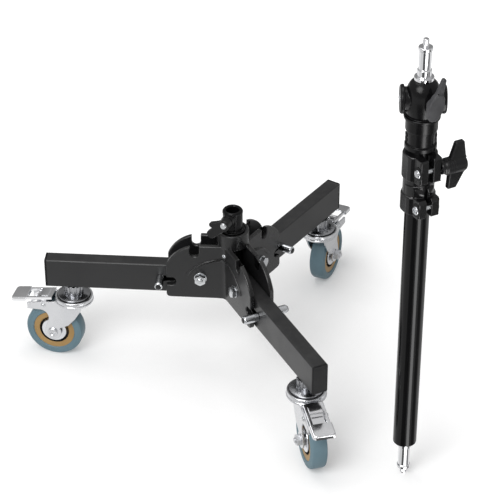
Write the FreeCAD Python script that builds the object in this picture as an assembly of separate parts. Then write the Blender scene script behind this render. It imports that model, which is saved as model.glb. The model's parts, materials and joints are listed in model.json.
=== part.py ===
import FreeCAD, Part
import math
import os
from FreeCAD import Placement, Rotation, Vector

# Wheeled light stand: three folding box-section legs on braked casters, a cast hub with a socket,
# and a telescopic column that lifts out and stands beside the base. Millimetres, +Z up.
# The origin is on the floor, below the hub's axis. The first leg is the one at the left of the view
# along +Y, and the legs follow counterclockwise seen from above.

os.makedirs("parts", exist_ok=True)

# Clearances
running_fit = 0.05        # radial, between a shaft and the bore that it turns or slides in
side_gap = 0.3            # between faces that move past each other
cut_overrun = 3.0         # how far every cutting solid runs past what it cuts

# Layout in plan, in degrees counterclockwise from +X
leg_azimuths = (175.9, 295.9, 55.9)
caster_headings = (166.7, 284.4, 66.0)
leg_spread = 120.0

# Wheel
wheel_diameter = 75.0
wheel_width = 20.0
tyre_thickness = 10.3
tyre_shoulder = 3.0       # radius of the rounded shoulders of the tread
core_recess = 1.0         # the wheel's centre stands in from the tyre's side
core_hub_radius = 13.0
core_web_recess = 2.2
bush_radius = 6.0
guard_radius = 16.6
guard_thickness = 1.1
guard_dish = 0.8
seam_width = 2.4          # dark groove between the guard and the coloured ring
seam_depth = 3.5

# Axle
axle_diameter = 8.0
axle_nut_flats = 13.0
axle_nut_height = 6.0
axle_head_radius = 6.5
axle_head_height = 3.0
axle_end = 2.0            # thread that shows past the nut

# Fork
axle_trail = 27.0         # from the swivel's axis to the axle
fork_headroom = 9.0       # from the tread to the fork's top plate
fork_sheet = 2.5
fork_plate_thickness = 3.0
fork_side_room = 2.0      # from the tyre's side to the fork's side
fork_lobe_radius = 11.0
fork_disc_radius = 25.0
fork_hood_reach = 60.0
fork_front_shares = ((0.545, 0.630), (0.572, 0.765), (0.740, 0.806), (1.0, 0.800))
fork_hood_shares = ((1.0, 0.905), (0.25, 1.0))
fork_rear_shares = ((-0.333, 0.966), (-0.200, 0.870), (-0.062, 0.708), (0.092, 0.580))
rivet_radius = 2.6
rivet_head = 1.2

# Swivel bearing and stem
race_height = 5.0
race_radius = 24.0
race_bead = 1.5
cover_height = 4.4
cover_radius = 21.0
stem_diameter = 12.0
stem_collar_radius = 9.0
stem_collar_height = 3.5
stem_length_in_leg = 26.0
stem_nut_height = 12.3
stem_nut_radius = 12.5
stem_nut_teeth = 12
stem_nut_tooth_depth = 1.6
stem_inset = 34.5         # from the leg's outer end to the swivel's axis

# Brake pedal
pedal_pivot_reach = 38.0
pedal_pivot_headroom = 2.5   # from the tread's top to the pivot's centre
pedal_ear_radius = 3.6
pedal_ear_thickness = 3.2
pedal_plate_thickness = 3.5
pedal_tail_reach = 27.0
pedal_press = 10.0           # degrees that the pedal turns until its shoe meets the tread
pedal_pad_reach = 82.0
pedal_pad_length = 20.0
pedal_pad_width = 28.5
pedal_pad_thickness = 5.0
pedal_pad_corner = 5.0
pedal_pad_lip = 2.0          # radius of the pad's rolled outer edge
pedal_pad_step = 1.0         # how far the pad stands above the frame
pedal_rise = 3.2             # height of the plate's top above the hood's edge at the tail
pedal_slope_share = 0.155    # fall of the plate along its length
pedal_window_length = 19.0
pedal_window_width = 17.5
pedal_tongue_length = 8.0    # raised block at the window's inner end
pedal_tongue_width = 16.0
pedal_tongue_rise = 1.2
pedal_tab_length = 15.0      # the tongue runs on into the window
pedal_tab_fall = 7.0
pedal_tab_thickness = 2.2
pedal_shoe_length = 7.0
pedal_shoe_width = 15.0
pedal_window_rim = 1.5       # from the window to the pad

# Leg
leg_reach = 240.0         # from the hub's axis to the outer end
tube_height = 40.0
tube_width = 20.0
tube_wall = 1.6
tube_corner = 2.0
leg_inner_reach = 18.0
cap_thickness = 2.5
cap_plug_depth = 12.0

# Fold pivot
pivot_reach = 40.0        # from the hub's axis
pivot_rise = 7.5          # above the middle of the leg
pivot_bolt_diameter = 8.0
washer_radius = 8.0
washer_thickness = 1.5
pivot_nut_flats = 13.0
pivot_nut_height = 6.5
pivot_head_flats = 13.0
pivot_head_height = 5.3
pivot_thread_end = 2.0

# Lock pin and its spring
pin_diameter = 7.6
pin_knob_diameter = 11.0
pin_half_length = 30.5
pin_knob_round = 2.5
pin_seat_share = 0.781    # seat of the pin, from the pivot along the leg, in arc radii
spring_wire = 1.4
spring_radius = 5.0
spring_turns = 5
spring_length = 26.0
spring_stop_length = 6.0

# Hub bracket
wing_thickness = 6.0
wing_arc_radius = 47.0    # about the pivot
wing_drop = 3.2           # below the leg
wing_end_share = 0.93     # flat end of a wing, from the pivot, in arc radii
wing_corner = 4.5
boss_radius = 20.5
boss_rise = 53.0          # above the leg's top
boss_chamfer = 1.0
boss_skirt = 2.5          # the round boss starts this far below the wings' top
boss_recess_radius = 17.2
boss_recess_depth = 3.0
nose_fillet = 8.0         # between the two cheeks of a bracket
rib_height = 1.5
rib_width = 2.9
rib_peak_share = 0.574    # height of the rib on the nose, above the pivot, in arc radii
rib_end_shares = (0.360, 0.066)   # outer end of the rib, from the pivot, in arc radii
set_screw_radius = 2.5
set_screw_rise = 22.0
set_screw_length = 7.0
set_screw_socket = 1.3

# Socket
socket_diameter = 25.0
socket_rise = 82.0        # above the leg's top
socket_depth = 52.0
socket_drain_diameter = 9.0
socket_chamfer = 1.5
socket_flange_radius = 15.4
socket_flange_rise = 1.5  # above the boss
clamp_boss_radius = 8.0
clamp_boss_reach = 18.0
clamp_screw_diameter = 8.0
clamp_screw_azimuth = 246.0
clamp_screw_drop = 9.0    # below the socket's mouth
lever_hub_radius = 7.5
lever_hub_length = 10.0
lever_paddle_length = 24.0
lever_paddle_angle = 44.0    # below the horizontal
lever_paddle_radius = 5.8
lever_arm_length = 16.5
lever_arm_angle = 10.0
lever_arm_radius = 3.6
lever_arm_thickness = 5.0
lever_root_radius = 6.6
lever_screw_head_radius = 3.4
lever_screw_head_height = 1.6

# Spigots, the same turned pin at both ends of the column
spigot_diameter = 16.0
spigot_waist_diameter = 13.6
spigot_tip_length = 9.5
spigot_tip_diameter = 6.35
spigot_collar_length = 4.5
spigot_waist_length = 26.0
spigot_base_length = 6.8
spigot_flange_radius = 10.9
spigot_flange_length = 2.7
spigot_chamfer = 0.6
spigot_plug_length = 24.0
top_waist_length = 22.0
top_base_length = 9.0
top_flange_length = 3.6

# Column
column_x = 207.0
column_y = -229.9
column_tube_diameter = 28.0
column_tube_wall = 1.5
riser_diameter = 24.6
riser_wall = 1.5
riser_overlap = 188.0     # riser inside the outer tube and clamp at rest
riser_show = 5.4          # bare riser between the clamp and the head at rest
riser_plug_length = 12.0
riser_plug_lip = 3.0

# Column clamp
lower_collar_start = 379.6   # above the foot of the column
lower_collar_height = 22.7
clamp_web_height = 19.5
upper_collar_height = 31.6
clamp_radius = 19.5
clamp_web_radius = 17.6
clamp_chamfer = 2.0
clamp_slit = 6.4
clamp_lug_reach = 24.5
clamp_lug_half_width = 13.5
clamp_lug_corner = 2.0
clamp_facets = 8
clamp_facet_share = 0.965    # of the collar's diameter, across its flats
clamp_notch_depth = 12.0     # of the V between the collars, from the lugs' face
clamp_notch_bite = 3.0
clamp_bolt_reach = 20.0
clamp_bolt_diameter = 6.0
clamp_head_radius = 5.2
clamp_head_height = 3.2
clamp_key_flats = 4.0
clamp_key_depth = 2.0
clamp_lug_azimuth = -63.0
clamp_web_slit_tilt = 14.0

# Clamp handle
handle_hub_radius = 9.5
handle_neck_radius = 7.6
handle_neck_length = 4.0
handle_length = 31.5
handle_wing_half_span = 28.6
handle_wing_width = 10.5
handle_wing_skew = 4.0
handle_wing_thickness = 6.5
handle_insert_radius = 5.4
handle_insert_length = 3.0

# Head
head_flange_radius = 17.9
head_flange_height = 5.4
head_body_radius = 15.7
head_body_height = 14.3
head_step_radius = 16.6
head_step_height = 2.6
head_drum_radius = 17.9
head_drum_height = 14.4
head_lug_rise = 1.5       # of the small square lugs at the collar's sides
head_lug_width = 7.0
head_lug_height = 4.0
head_lug_gap = 1.8
head_ring_radius = 20.2
head_ring_height = 3.5
head_housing_height = 42.8
head_housing_shares = ((0.88, 0.0), (0.94, 0.11), (0.98, 0.23), (1.0, 0.38), (0.99, 0.52), (0.955, 0.66),
                       (0.88, 0.79), (0.77, 0.89), (0.63, 0.96), (0.48, 1.0))
head_housing_radius = 19.7
head_ear_radius = 13.5
head_disc_radius = 16.2
head_disc_thickness = 4.6
head_disc_reach = 25.2
head_disc_round = 2.0
head_disc_rise = 18.6
head_core_radius = 6.0

# Wing knob on the head
knob_azimuth = -68.0
knob_rise = 23.0
knob_start = 20.6
knob_neck_radius = 7.0
knob_neck_length = 5.0
knob_hub_radius = 8.4
knob_hub_length = 6.6
knob_body_radius = 9.4
knob_body_end_radius = 7.2
knob_body_length = 9.0   # from the middle to the centre of each rounded end
knob_body_thickness = 7.2
knob_horn_length = 34.0
knob_horn_root_radius = 6.2
knob_horn_tip_radius = 2.3
knob_horn_thickness = 5.4
knob_tilt = 16.0
knob_stud_diameter = 8.0
knob_stud_depth = 10.0

# Heights and reaches that follow from the sizes above
wheel_radius = wheel_diameter / 2
fork_bottom = wheel_diameter + fork_headroom
fork_top = fork_bottom + fork_plate_thickness
race_top = fork_top + race_height
cover_bottom = race_top + side_gap
cover_top = cover_bottom + cover_height
leg_bottom = cover_top + stem_nut_height
leg_middle = leg_bottom + tube_height / 2
leg_top = leg_bottom + tube_height
fork_inner = wheel_width / 2 + fork_side_room
fork_outer = fork_inner + fork_sheet
swivel_reach = leg_reach - stem_inset
pivot_height = leg_middle + pivot_rise
wing_inner = tube_width / 2 + side_gap
wing_outer = wing_inner + wing_thickness
wing_bottom = leg_bottom - wing_drop
wing_top = pivot_height + wing_arc_radius
boss_top = leg_top + boss_rise
socket_top = leg_top + socket_rise
socket_radius = socket_diameter / 2
socket_bore = spigot_diameter / 2 + running_fit
wing_outer_reach = pivot_reach + wing_arc_radius * wing_end_share
boss_start = wing_top - boss_skirt
half_spread = math.radians(leg_spread / 2)
nose_centre = (wing_outer + nose_fillet) / math.sin(half_spread)
nose_radius = nose_centre - nose_fillet
nose_tangent = nose_centre * math.cos(half_spread)
pin_seat_reach = wing_arc_radius * pin_seat_share
notch_half = pin_knob_diameter / 2 + side_gap
pin_clear_radius = wing_arc_radius + pin_knob_diameter / 2 + side_gap
pin_drawn_reach = math.sqrt(pin_clear_radius ** 2 - pivot_rise ** 2)
pin_rest_x = pivot_reach + pin_drawn_reach
pin_seat_x = pivot_reach + pin_seat_reach
slot_half = pin_diameter / 2 + side_gap
spigot_length = (spigot_tip_length + spigot_collar_length + spigot_waist_length
                 + spigot_base_length + spigot_flange_length)
tube_start = spigot_length
lower_collar_end = lower_collar_start + lower_collar_height
upper_collar_start = lower_collar_end + clamp_web_height
upper_collar_end = upper_collar_start + upper_collar_height
tube_end = upper_collar_start - side_gap
head_start = upper_collar_end + riser_show
riser_start = upper_collar_start - riser_overlap
ring_start = (head_start + head_flange_height + head_body_height
              + head_step_height + head_drum_height)
housing_start = ring_start + head_ring_height
housing_end = housing_start + head_housing_height
handle_height = (upper_collar_start + upper_collar_end) / 2
column_radius = column_tube_diameter / 2
column_bore = column_radius - column_tube_wall
riser_radius = riser_diameter / 2

X, Y, Z = Vector(1, 0, 0), Vector(0, 1, 0), Vector(0, 0, 1)


# Shared shapes

def cylinder(radius, length, base=Vector(), axis=Z):
    return Part.makeCylinder(radius, length, base, axis)


def tube(outer, inner, length, base=Vector(), axis=Z):
    return cylinder(outer, length, base, axis).cut(cylinder(inner, length, base, axis))


def box(x0, x1, y0, y1, z0, z1):
    return Part.makeBox(x1 - x0, y1 - y0, z1 - z0, Vector(x0, y0, z0))


def joined(shapes):
    whole = shapes[0].fuse(shapes[1:]) if len(shapes) > 1 else shapes[0]
    return whole.removeSplitter()


def plate(points, depth, start=0.0):
    """Extrude an outline of (x, z) points along Y, from start for depth. A point of three values is
    the middle of an arc: its third value only marks it."""
    edges, last, i = [], points[0], 1
    ring = list(points) + [points[0]]
    while i < len(ring):
        here = ring[i]
        if len(here) == 3:
            through, end = here[:2], ring[i + 1][:2]
            edges.append(Part.Arc(Vector(last[0], start, last[1]), Vector(through[0], start, through[1]),
                                  Vector(end[0], start, end[1])).toShape())
            i += 1
        else:
            end = here
            edges.append(Part.makeLine(Vector(last[0], start, last[1]), Vector(end[0], start, end[1])))
        last = end
        i += 1
    face = Part.Face(Part.Wire(edges))
    return face.extrude(Vector(0, depth, 0))


def turned(points, base=Vector(), axis=Z):
    """Turn an outline of (radius, height) points about an axis through base."""
    wire = Part.makePolygon([Vector(r, 0, h) for r, h in points] + [Vector(points[0][0], 0, points[0][1])])
    solid = Part.Face(wire).revolve(Vector(), Z, 360)
    solid.Placement = Placement(base, Rotation(Z, axis))
    return solid


def prism(sides, flats, length, base=Vector(), axis=Z):
    """A regular prism, measured across its flats."""
    corner = flats / 2 / math.cos(math.pi / sides)
    ring = [Vector(corner * math.cos(2 * math.pi * k / sides), corner * math.sin(2 * math.pi * k / sides), 0)
            for k in range(sides + 1)]
    solid = Part.Face(Part.makePolygon(ring)).extrude(Vector(0, 0, length))
    solid.Placement = Placement(base, Rotation(Z, axis))
    return solid


def stadium(x0, x1, z, half, depth, start):
    """A slot with round ends, cut along Y."""
    return plate([(x0, z - half), (x1, z - half), (x1 + half, z, 0), (x1, z + half),
                  (x0, z + half), (x0 - half, z, 0)], depth, start)


def on_leg(shape, number):
    """Turn a shape from the leg's own frame (X outward) to its place about the hub."""
    placed = shape.copy()
    placed.rotate(Vector(), Z, leg_azimuths[number])
    return placed


def on_caster(shape, number):
    """Move a shape from the caster's own frame (X along the trail) under its leg."""
    placed = shape.copy()
    placed.rotate(Vector(), Z, caster_headings[number])
    placed.translate(on_circle(swivel_reach, leg_azimuths[number]))
    return placed


def on_column(shape):
    placed = shape.copy()
    placed.translate(Vector(column_x, column_y, 0))
    return placed


def on_circle(radius, azimuth, z=0.0):
    turn = math.radians(azimuth)
    return Vector(radius * math.cos(turn), radius * math.sin(turn), z)


def save(name, shape):
    shape.exportStep(os.path.join("parts", name + ".step"))


# Wheel and axle

def along_axle(points):
    """Turn an outline of (radius, distance from the wheel's middle) points about the axle."""
    return turned(points, Vector(axle_trail, 0, wheel_radius), Y)


def tyre():
    half = wheel_width / 2
    inner = wheel_radius - tyre_thickness
    shoulder = tyre_shoulder / 3
    ring = [(inner, -half + core_recess), (inner + core_recess, -half), (wheel_radius - tyre_shoulder, -half),
            (wheel_radius - shoulder, -half + shoulder), (wheel_radius, -half + tyre_shoulder)]
    return along_axle(ring + [(r, -y) for r, y in reversed(ring)])


def wheel_core():
    half = wheel_width / 2 - core_recess
    rim = wheel_radius - tyre_thickness
    seam = guard_radius + seam_width
    side = [(rim, half), (seam + core_web_recess, half), (seam, half - core_recess),
            (seam, half - seam_depth), (guard_radius, half - seam_depth),
            (core_hub_radius, half - seam_depth), (core_hub_radius, half),
            (bush_radius + running_fit, half)]
    return along_axle([(r, -y) for r, y in side] + list(reversed(side)))


def thread_guards():
    """Two dished discs that cover the wheel's centre and turn with it."""
    seat = wheel_width / 2 - core_recess
    discs = []
    for side in (-1, 1):
        outline = [(axle_diameter, seat), (core_hub_radius, seat), (core_hub_radius, seat - seam_depth / 2),
                   (guard_radius, seat - seam_depth / 2), (guard_radius, seat + guard_thickness - guard_dish),
                   (guard_radius - guard_dish, seat + guard_thickness), (axle_diameter, seat + guard_thickness)]
        discs.append(along_axle([(r, side * y) for r, y in outline]))
    return Part.makeCompound(discs)


def axle():
    """A bolt through the fork, the steel bush that the wheel turns on, and the nut."""
    centre = Vector(axle_trail, 0, wheel_radius)
    radius = axle_diameter / 2
    length = 2 * fork_outer + axle_nut_height + axle_end
    start = centre - Y * fork_outer
    head = turned([(0, 0), (axle_head_radius, 0), (axle_head_radius, axle_head_height / 2),
                   (axle_head_radius / 2, axle_head_height), (0, axle_head_height)],
                  centre + Y * fork_outer, Y)
    shank = cylinder(radius, length, start - Y * (axle_nut_height + axle_end), Y)
    bolt = joined([head, shank])
    bush = tube(bush_radius, radius + running_fit, 2 * fork_inner, centre - Y * fork_inner, Y)
    nut = prism(6, axle_nut_flats, axle_nut_height, start - Y * axle_nut_height, Y)
    nut = nut.cut(cylinder(radius + running_fit, axle_nut_height, start - Y * axle_nut_height, Y))
    return Part.makeCompound([bolt, bush, nut])


# Fork with its lower race

def fork_side_outline():
    def place(shares):
        return [(x * fork_hood_reach, z * fork_top) for x, z in shares]
    front, hood, rear = place(fork_front_shares), place(fork_hood_shares), place(fork_rear_shares)
    reach = fork_lobe_radius
    lobe_front = (axle_trail + reach, wheel_radius)
    lobe_rear = (axle_trail - reach * math.cos(math.radians(35)), wheel_radius + reach * math.sin(math.radians(35)))
    neck, bend, shelf, lip = front
    return [lobe_rear, (axle_trail, wheel_radius - reach, 0), lobe_front, neck,
            (bend[0], bend[1], 0), shelf, lip, hood[0], hood[1],
            (-fork_disc_radius * 0.6, fork_top)] + rear[1:]


def fork():
    outline = fork_side_outline()
    sides = [plate(outline, fork_sheet, y) for y in (-fork_outer, fork_inner)]
    crown = box(-fork_disc_radius * 0.6, fork_hood_reach / 3, -fork_outer, fork_outer, fork_bottom, fork_top)
    disc = cylinder(fork_disc_radius, fork_plate_thickness, Vector(0, 0, fork_bottom))
    race = turned([(cover_radius - race_bead, fork_top), (race_radius, fork_top),
                   (race_radius + race_bead / 2, fork_top + race_bead), (race_radius, race_top),
                   (cover_radius - race_bead, race_top)])
    pivot = Vector(pedal_pivot_reach, 0, wheel_diameter + pedal_pivot_headroom)
    rivets = [cylinder(rivet_radius, fork_sheet + rivet_head, pivot + Y * y, Y)
              for y in (-fork_outer - rivet_head, fork_inner)]
    body = joined(sides + [crown, disc, race] + rivets)
    body = body.cut(cylinder(stem_diameter / 2 + running_fit, fork_plate_thickness + race_height,
                             Vector(0, 0, fork_bottom)))
    hole = cylinder(axle_diameter / 2 + running_fit, 2 * fork_outer,
                    Vector(axle_trail, -fork_outer, wheel_radius), Y)
    pin = cylinder(rivet_radius, 2 * fork_inner, pivot - Y * fork_inner, Y)
    return joined([body.cut(hole), pin])


def caster_stem():
    """The stem with the collar that carries the fork and the bearing's cover, fixed to the leg."""
    radius = stem_diameter / 2
    collar_top = fork_bottom - side_gap
    top = leg_bottom + tube_wall + stem_length_in_leg
    chamfer = radius / 6
    return turned([(0, collar_top - stem_collar_height), (stem_collar_radius, collar_top - stem_collar_height),
                   (stem_collar_radius, collar_top), (radius, collar_top), (radius, cover_bottom),
                   (cover_radius, cover_bottom), (cover_radius, cover_bottom + cover_height / 2),
                   (stem_nut_radius + race_bead, cover_top), (radius, cover_top),
                   (radius, top - chamfer), (radius - chamfer, top), (0, top)])


def stem_nut():
    """The grooved nut that locks the stem under the leg."""
    body = cylinder(stem_nut_radius, stem_nut_height, Vector(0, 0, cover_top))
    groove_turn = 360 / stem_nut_teeth
    groove = box(stem_nut_radius - stem_nut_tooth_depth, stem_nut_radius + cut_overrun,
                 -stem_nut_tooth_depth, stem_nut_tooth_depth, cover_top, leg_bottom)
    cuts = [cylinder(stem_diameter / 2 + running_fit, stem_nut_height, Vector(0, 0, cover_top))]
    for k in range(stem_nut_teeth):
        cut = groove.copy()
        cut.rotate(Vector(), Z, k * groove_turn)
        cuts.append(cut)
    return body.cut(cuts)


# Brake pedal

def pedal_top(x):
    """Height of the pedal's sloping top above the floor at x."""
    return fork_top + pedal_rise - (x - pedal_tail_reach) * pedal_slope_share


def pedal():
    pad_start = pedal_pad_reach - pedal_pad_length
    half = fork_inner - side_gap
    pivot = (pedal_pivot_reach, wheel_diameter + pedal_pivot_headroom)
    spine = plate([(pedal_tail_reach, pedal_top(pedal_tail_reach)), (pad_start, pedal_top(pad_start)),
                   (pad_start, pedal_top(pad_start) - pedal_plate_thickness),
                   (pedal_tail_reach, pedal_top(pedal_tail_reach) - pedal_plate_thickness)], 2 * half, -half)
    pad_top, pad_end = pedal_top(pad_start) + pedal_pad_step, pedal_top(pedal_pad_reach) + pedal_pad_step
    pad = plate([(pad_start, pad_top), (pedal_pad_reach, pad_end), (pedal_pad_reach, pad_end - pedal_pad_thickness),
                 (pad_start, pad_top - pedal_pad_thickness)], pedal_pad_width, -pedal_pad_width / 2)
    corners = [e for e in pad.Edges if e.BoundBox.XMin > pedal_pad_reach - running_fit
               and e.BoundBox.YLength < running_fit]
    pad = pad.makeFillet(pedal_pad_corner, corners)
    lip = [e for e in pad.Edges if e.BoundBox.ZMin > pad_end - running_fit
           and e.BoundBox.XMin > pedal_pad_reach - running_fit]
    pad = pad.makeFillet(pedal_pad_lip, lip)
    ears = []
    for y in (-half, half - pedal_ear_thickness):
        ear = cylinder(pedal_ear_radius, pedal_ear_thickness, Vector(pivot[0], y, pivot[1]), Y)
        web = box(pivot[0] - pedal_ear_radius, pivot[0] + pedal_ear_radius, y, y + pedal_ear_thickness,
                  pivot[1], pedal_top(pivot[0] + pedal_ear_radius) - pedal_plate_thickness / 2)
        ears += [ear, web]
    window_end = pad_start - pedal_window_rim
    window_start = window_end - pedal_window_length
    window = box(window_start, window_end, -pedal_window_width / 2, pedal_window_width / 2,
                 pivot[1], fork_top + pedal_rise + cut_overrun)
    frame = joined([spine.cut(window), pad] + ears)
    frame = frame.cut(cylinder(rivet_radius + running_fit, 2 * half, Vector(pivot[0], -half, pivot[1]), Y))
    start, tab_end = window_start - pedal_tongue_length, window_start + pedal_tab_length
    block_top, tab_top = pedal_top(start) + pedal_tongue_rise, pedal_top(tab_end) - pedal_tab_fall
    tongue = plate([(start, block_top), (window_start, pedal_top(window_start) + pedal_tongue_rise),
                    (tab_end, tab_top), (tab_end, tab_top - pedal_tab_thickness),
                    (window_start, pedal_top(window_start) - pedal_plate_thickness),
                    (start, block_top - pedal_plate_thickness)], pedal_tongue_width, -pedal_tongue_width / 2)
    shoe_start = pivot[0] + pedal_ear_radius
    shoe_end = shoe_start + pedal_shoe_length
    press = math.radians(pedal_press)
    back, down = axle_trail - pivot[0], wheel_radius - pivot[1]
    tread_x = pivot[0] + back * math.cos(press) - down * math.sin(press)
    tread_z = pivot[1] + back * math.sin(press) + down * math.cos(press)
    tread = wheel_radius + side_gap
    shoe_bottom = tread_z + math.sqrt(tread ** 2 - (shoe_end - tread_x) ** 2)
    shoe = box(shoe_start, shoe_end, -pedal_shoe_width / 2, pedal_shoe_width / 2,
               shoe_bottom, pedal_top(shoe_end) - pedal_plate_thickness / 2)
    meets = cylinder(tread, pedal_shoe_width, Vector(tread_x, -pedal_shoe_width / 2, tread_z), Y)
    return joined([frame, tongue, shoe.cut(meets)])


# Leg

def rounded_bar(x0, x1, half_width, half_height, corner):
    bar = box(x0, x1, -half_width, half_width, leg_middle - half_height, leg_middle + half_height)
    long_edges = [e for e in bar.Edges if e.BoundBox.XLength > (x1 - x0) / 2]
    return bar.makeFillet(corner, long_edges)


def leg_tube():
    end = leg_reach - cap_thickness
    outer = rounded_bar(leg_inner_reach, end, tube_width / 2, tube_height / 2, tube_corner)
    inner = rounded_bar(leg_inner_reach - cut_overrun, end + cut_overrun, tube_width / 2 - tube_wall,
                        tube_height / 2 - tube_wall, tube_corner - tube_wall / 2)
    pivot = cylinder(pivot_bolt_diameter / 2 + running_fit, tube_width,
                     Vector(pivot_reach, -tube_width / 2, pivot_height), Y)
    slot = stadium(pin_seat_x, pin_rest_x, leg_middle, slot_half, tube_width, -tube_width / 2)
    stem = cylinder(stem_diameter / 2 + running_fit, 2 * tube_wall,
                    Vector(swivel_reach, 0, leg_bottom - tube_wall / 2))
    return outer.cut([inner, pivot, slot, stem])


def leg_cap():
    """The moulded end plug, with a plate as large as the tube's section."""
    end = leg_reach - cap_thickness
    face = rounded_bar(end, leg_reach, tube_width / 2, tube_height / 2, tube_corner)
    plug = rounded_bar(end - cap_plug_depth, end, tube_width / 2 - tube_wall - running_fit,
                       tube_height / 2 - tube_wall - running_fit, tube_corner - tube_wall / 2)
    hollow = box(end - cap_plug_depth, end - tube_wall, -tube_width / 2 + 2 * tube_wall,
                 tube_width / 2 - 2 * tube_wall, leg_middle - tube_height / 2 + 2 * tube_wall,
                 leg_middle + tube_height / 2 - 2 * tube_wall)
    return joined([face, plug]).cut(hollow)


def lock_pin():
    """The cross pin with a knob on each end, at the outer end of its slot."""
    centre = Vector(pin_rest_x, 0, leg_middle)
    radius, knob = pin_diameter / 2, pin_knob_diameter / 2
    start, end = tube_width / 2 + side_gap, pin_half_length
    half = [(radius, 0), (radius, start), (knob, start), (knob, end - pin_knob_round),
            (knob - pin_knob_round / 3, end - pin_knob_round / 3), (knob - pin_knob_round, end), (0, end)]
    outline = [(r, -y) for r, y in reversed(half[1:])] + half[1:]
    return turned(outline, centre, Y)


def lock_spring():
    """The compression spring that pushes the pin home, squeezed at rest, and its stop block."""
    start = pin_rest_x + pin_diameter / 2 + side_gap
    pitch = spring_length / spring_turns
    outer, inner = spring_radius, spring_radius - spring_wire
    outline = [(inner, 0)]
    for turn in range(spring_turns):
        outline += [(outer - spring_wire / 2, turn * pitch), (outer, (turn + 1 / 2) * pitch)]
    outline += [(outer - spring_wire / 2, spring_length), (inner, spring_length)]
    coil = turned(outline, Vector(start, 0, leg_middle), X)
    stop_start = start + spring_length + side_gap
    half_width = tube_width / 2 - tube_wall - running_fit
    stop = box(stop_start, stop_start + spring_stop_length, -half_width, half_width,
               leg_middle - spring_radius - spring_wire, leg_middle + spring_radius + spring_wire)
    return Part.makeCompound([coil, stop])


# Hub

def wing(side):
    """One cheek of a bracket: side is 1 on the leg's left, -1 on its right, seen from the hub."""
    start = wing_inner if side > 0 else -wing_outer
    arc = wing_arc_radius
    meet = math.sqrt(arc ** 2 - (wing_outer_reach - pivot_reach) ** 2)
    bend = math.radians(60)
    outline = [(0, wing_bottom), (wing_outer_reach - wing_corner, wing_bottom),
               (wing_outer_reach - wing_corner * (1 - math.sin(math.pi / 4)),
                wing_bottom + wing_corner * (1 - math.sin(math.pi / 4)), 0),
               (wing_outer_reach, wing_bottom + wing_corner), (wing_outer_reach, pivot_height + meet),
               (pivot_reach + arc * math.cos(bend), pivot_height + arc * math.sin(bend), 0),
               (pivot_reach, wing_top), (0, wing_top)]
    cheek = plate(outline, wing_thickness, start)
    low = stadium(pin_seat_x, wing_outer_reach + cut_overrun + notch_half, leg_middle, notch_half,
                  wing_thickness, start)
    high_x, high_z = pivot_reach + pivot_rise, pivot_height + pin_seat_reach
    high = joined([cylinder(notch_half, wing_thickness, Vector(high_x, start, high_z), Y),
                   box(high_x - notch_half, high_x + notch_half, start, start + wing_thickness,
                       high_z, wing_top + cut_overrun)])
    bolt = cylinder(pivot_bolt_diameter / 2 + running_fit, wing_thickness,
                    Vector(pivot_reach, start, pivot_height), Y)
    return cheek.cut([low, high, bolt])


def wing_rib(side):
    """The raised rib on a cheek's outer face, an arch that starts level where the nose ends."""
    peak = pivot_height + rib_peak_share * wing_arc_radius
    end_x, end_z = [p + s * wing_arc_radius for p, s in zip((pivot_reach, pivot_height), rib_end_shares)]
    run, fall = end_x - nose_tangent, peak - end_z
    radius = (run ** 2 + fall ** 2) / (2 * fall)
    sweep = math.asin(run / radius)

    def ring(distance):
        reach = radius + distance
        return [(nose_tangent + reach * math.sin(turn), peak - radius + reach * math.cos(turn))
                for turn in (0, sweep / 2, sweep)]
    upper, lower = ring(rib_width / 2), ring(-rib_width / 2)
    outline = [upper[0], (upper[1][0], upper[1][1], 0), upper[2], lower[2], (lower[1][0], lower[1][1], 0), lower[0]]
    start = wing_outer - rib_height / 2 if side > 0 else -wing_outer - rib_height
    return plate(outline, rib_height * 3 / 2, start)


def mirrored(x, y):
    """The point of the second cheek that matches (x, y) of the first one, in a bracket's own frame."""
    turn = 2 * half_spread
    return x * math.cos(turn) + y * math.sin(turn), x * math.sin(turn) - y * math.cos(turn)


def nose(proud, start, end):
    """The filleted corner between two cheeks, standing proud of their outer faces."""
    side, middle = wing_outer + proud, nose_radius + proud
    near, far = (nose_tangent, 0), (nose_tangent, side)
    bend = (middle * math.cos(half_spread), middle * math.sin(half_spread))
    points = [Vector(x, y, start) for x, y in (near, far, bend, mirrored(*far), mirrored(*near))]
    edges = [Part.makeLine(Vector(0, 0, start), points[0]), Part.makeLine(points[0], points[1]),
             Part.Arc(*points[1:4]).toShape(), Part.makeLine(points[3], points[4]),
             Part.makeLine(points[4], Vector(0, 0, start))]
    return Part.Face(Part.Wire(edges)).extrude(Vector(0, 0, end - start))


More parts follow.
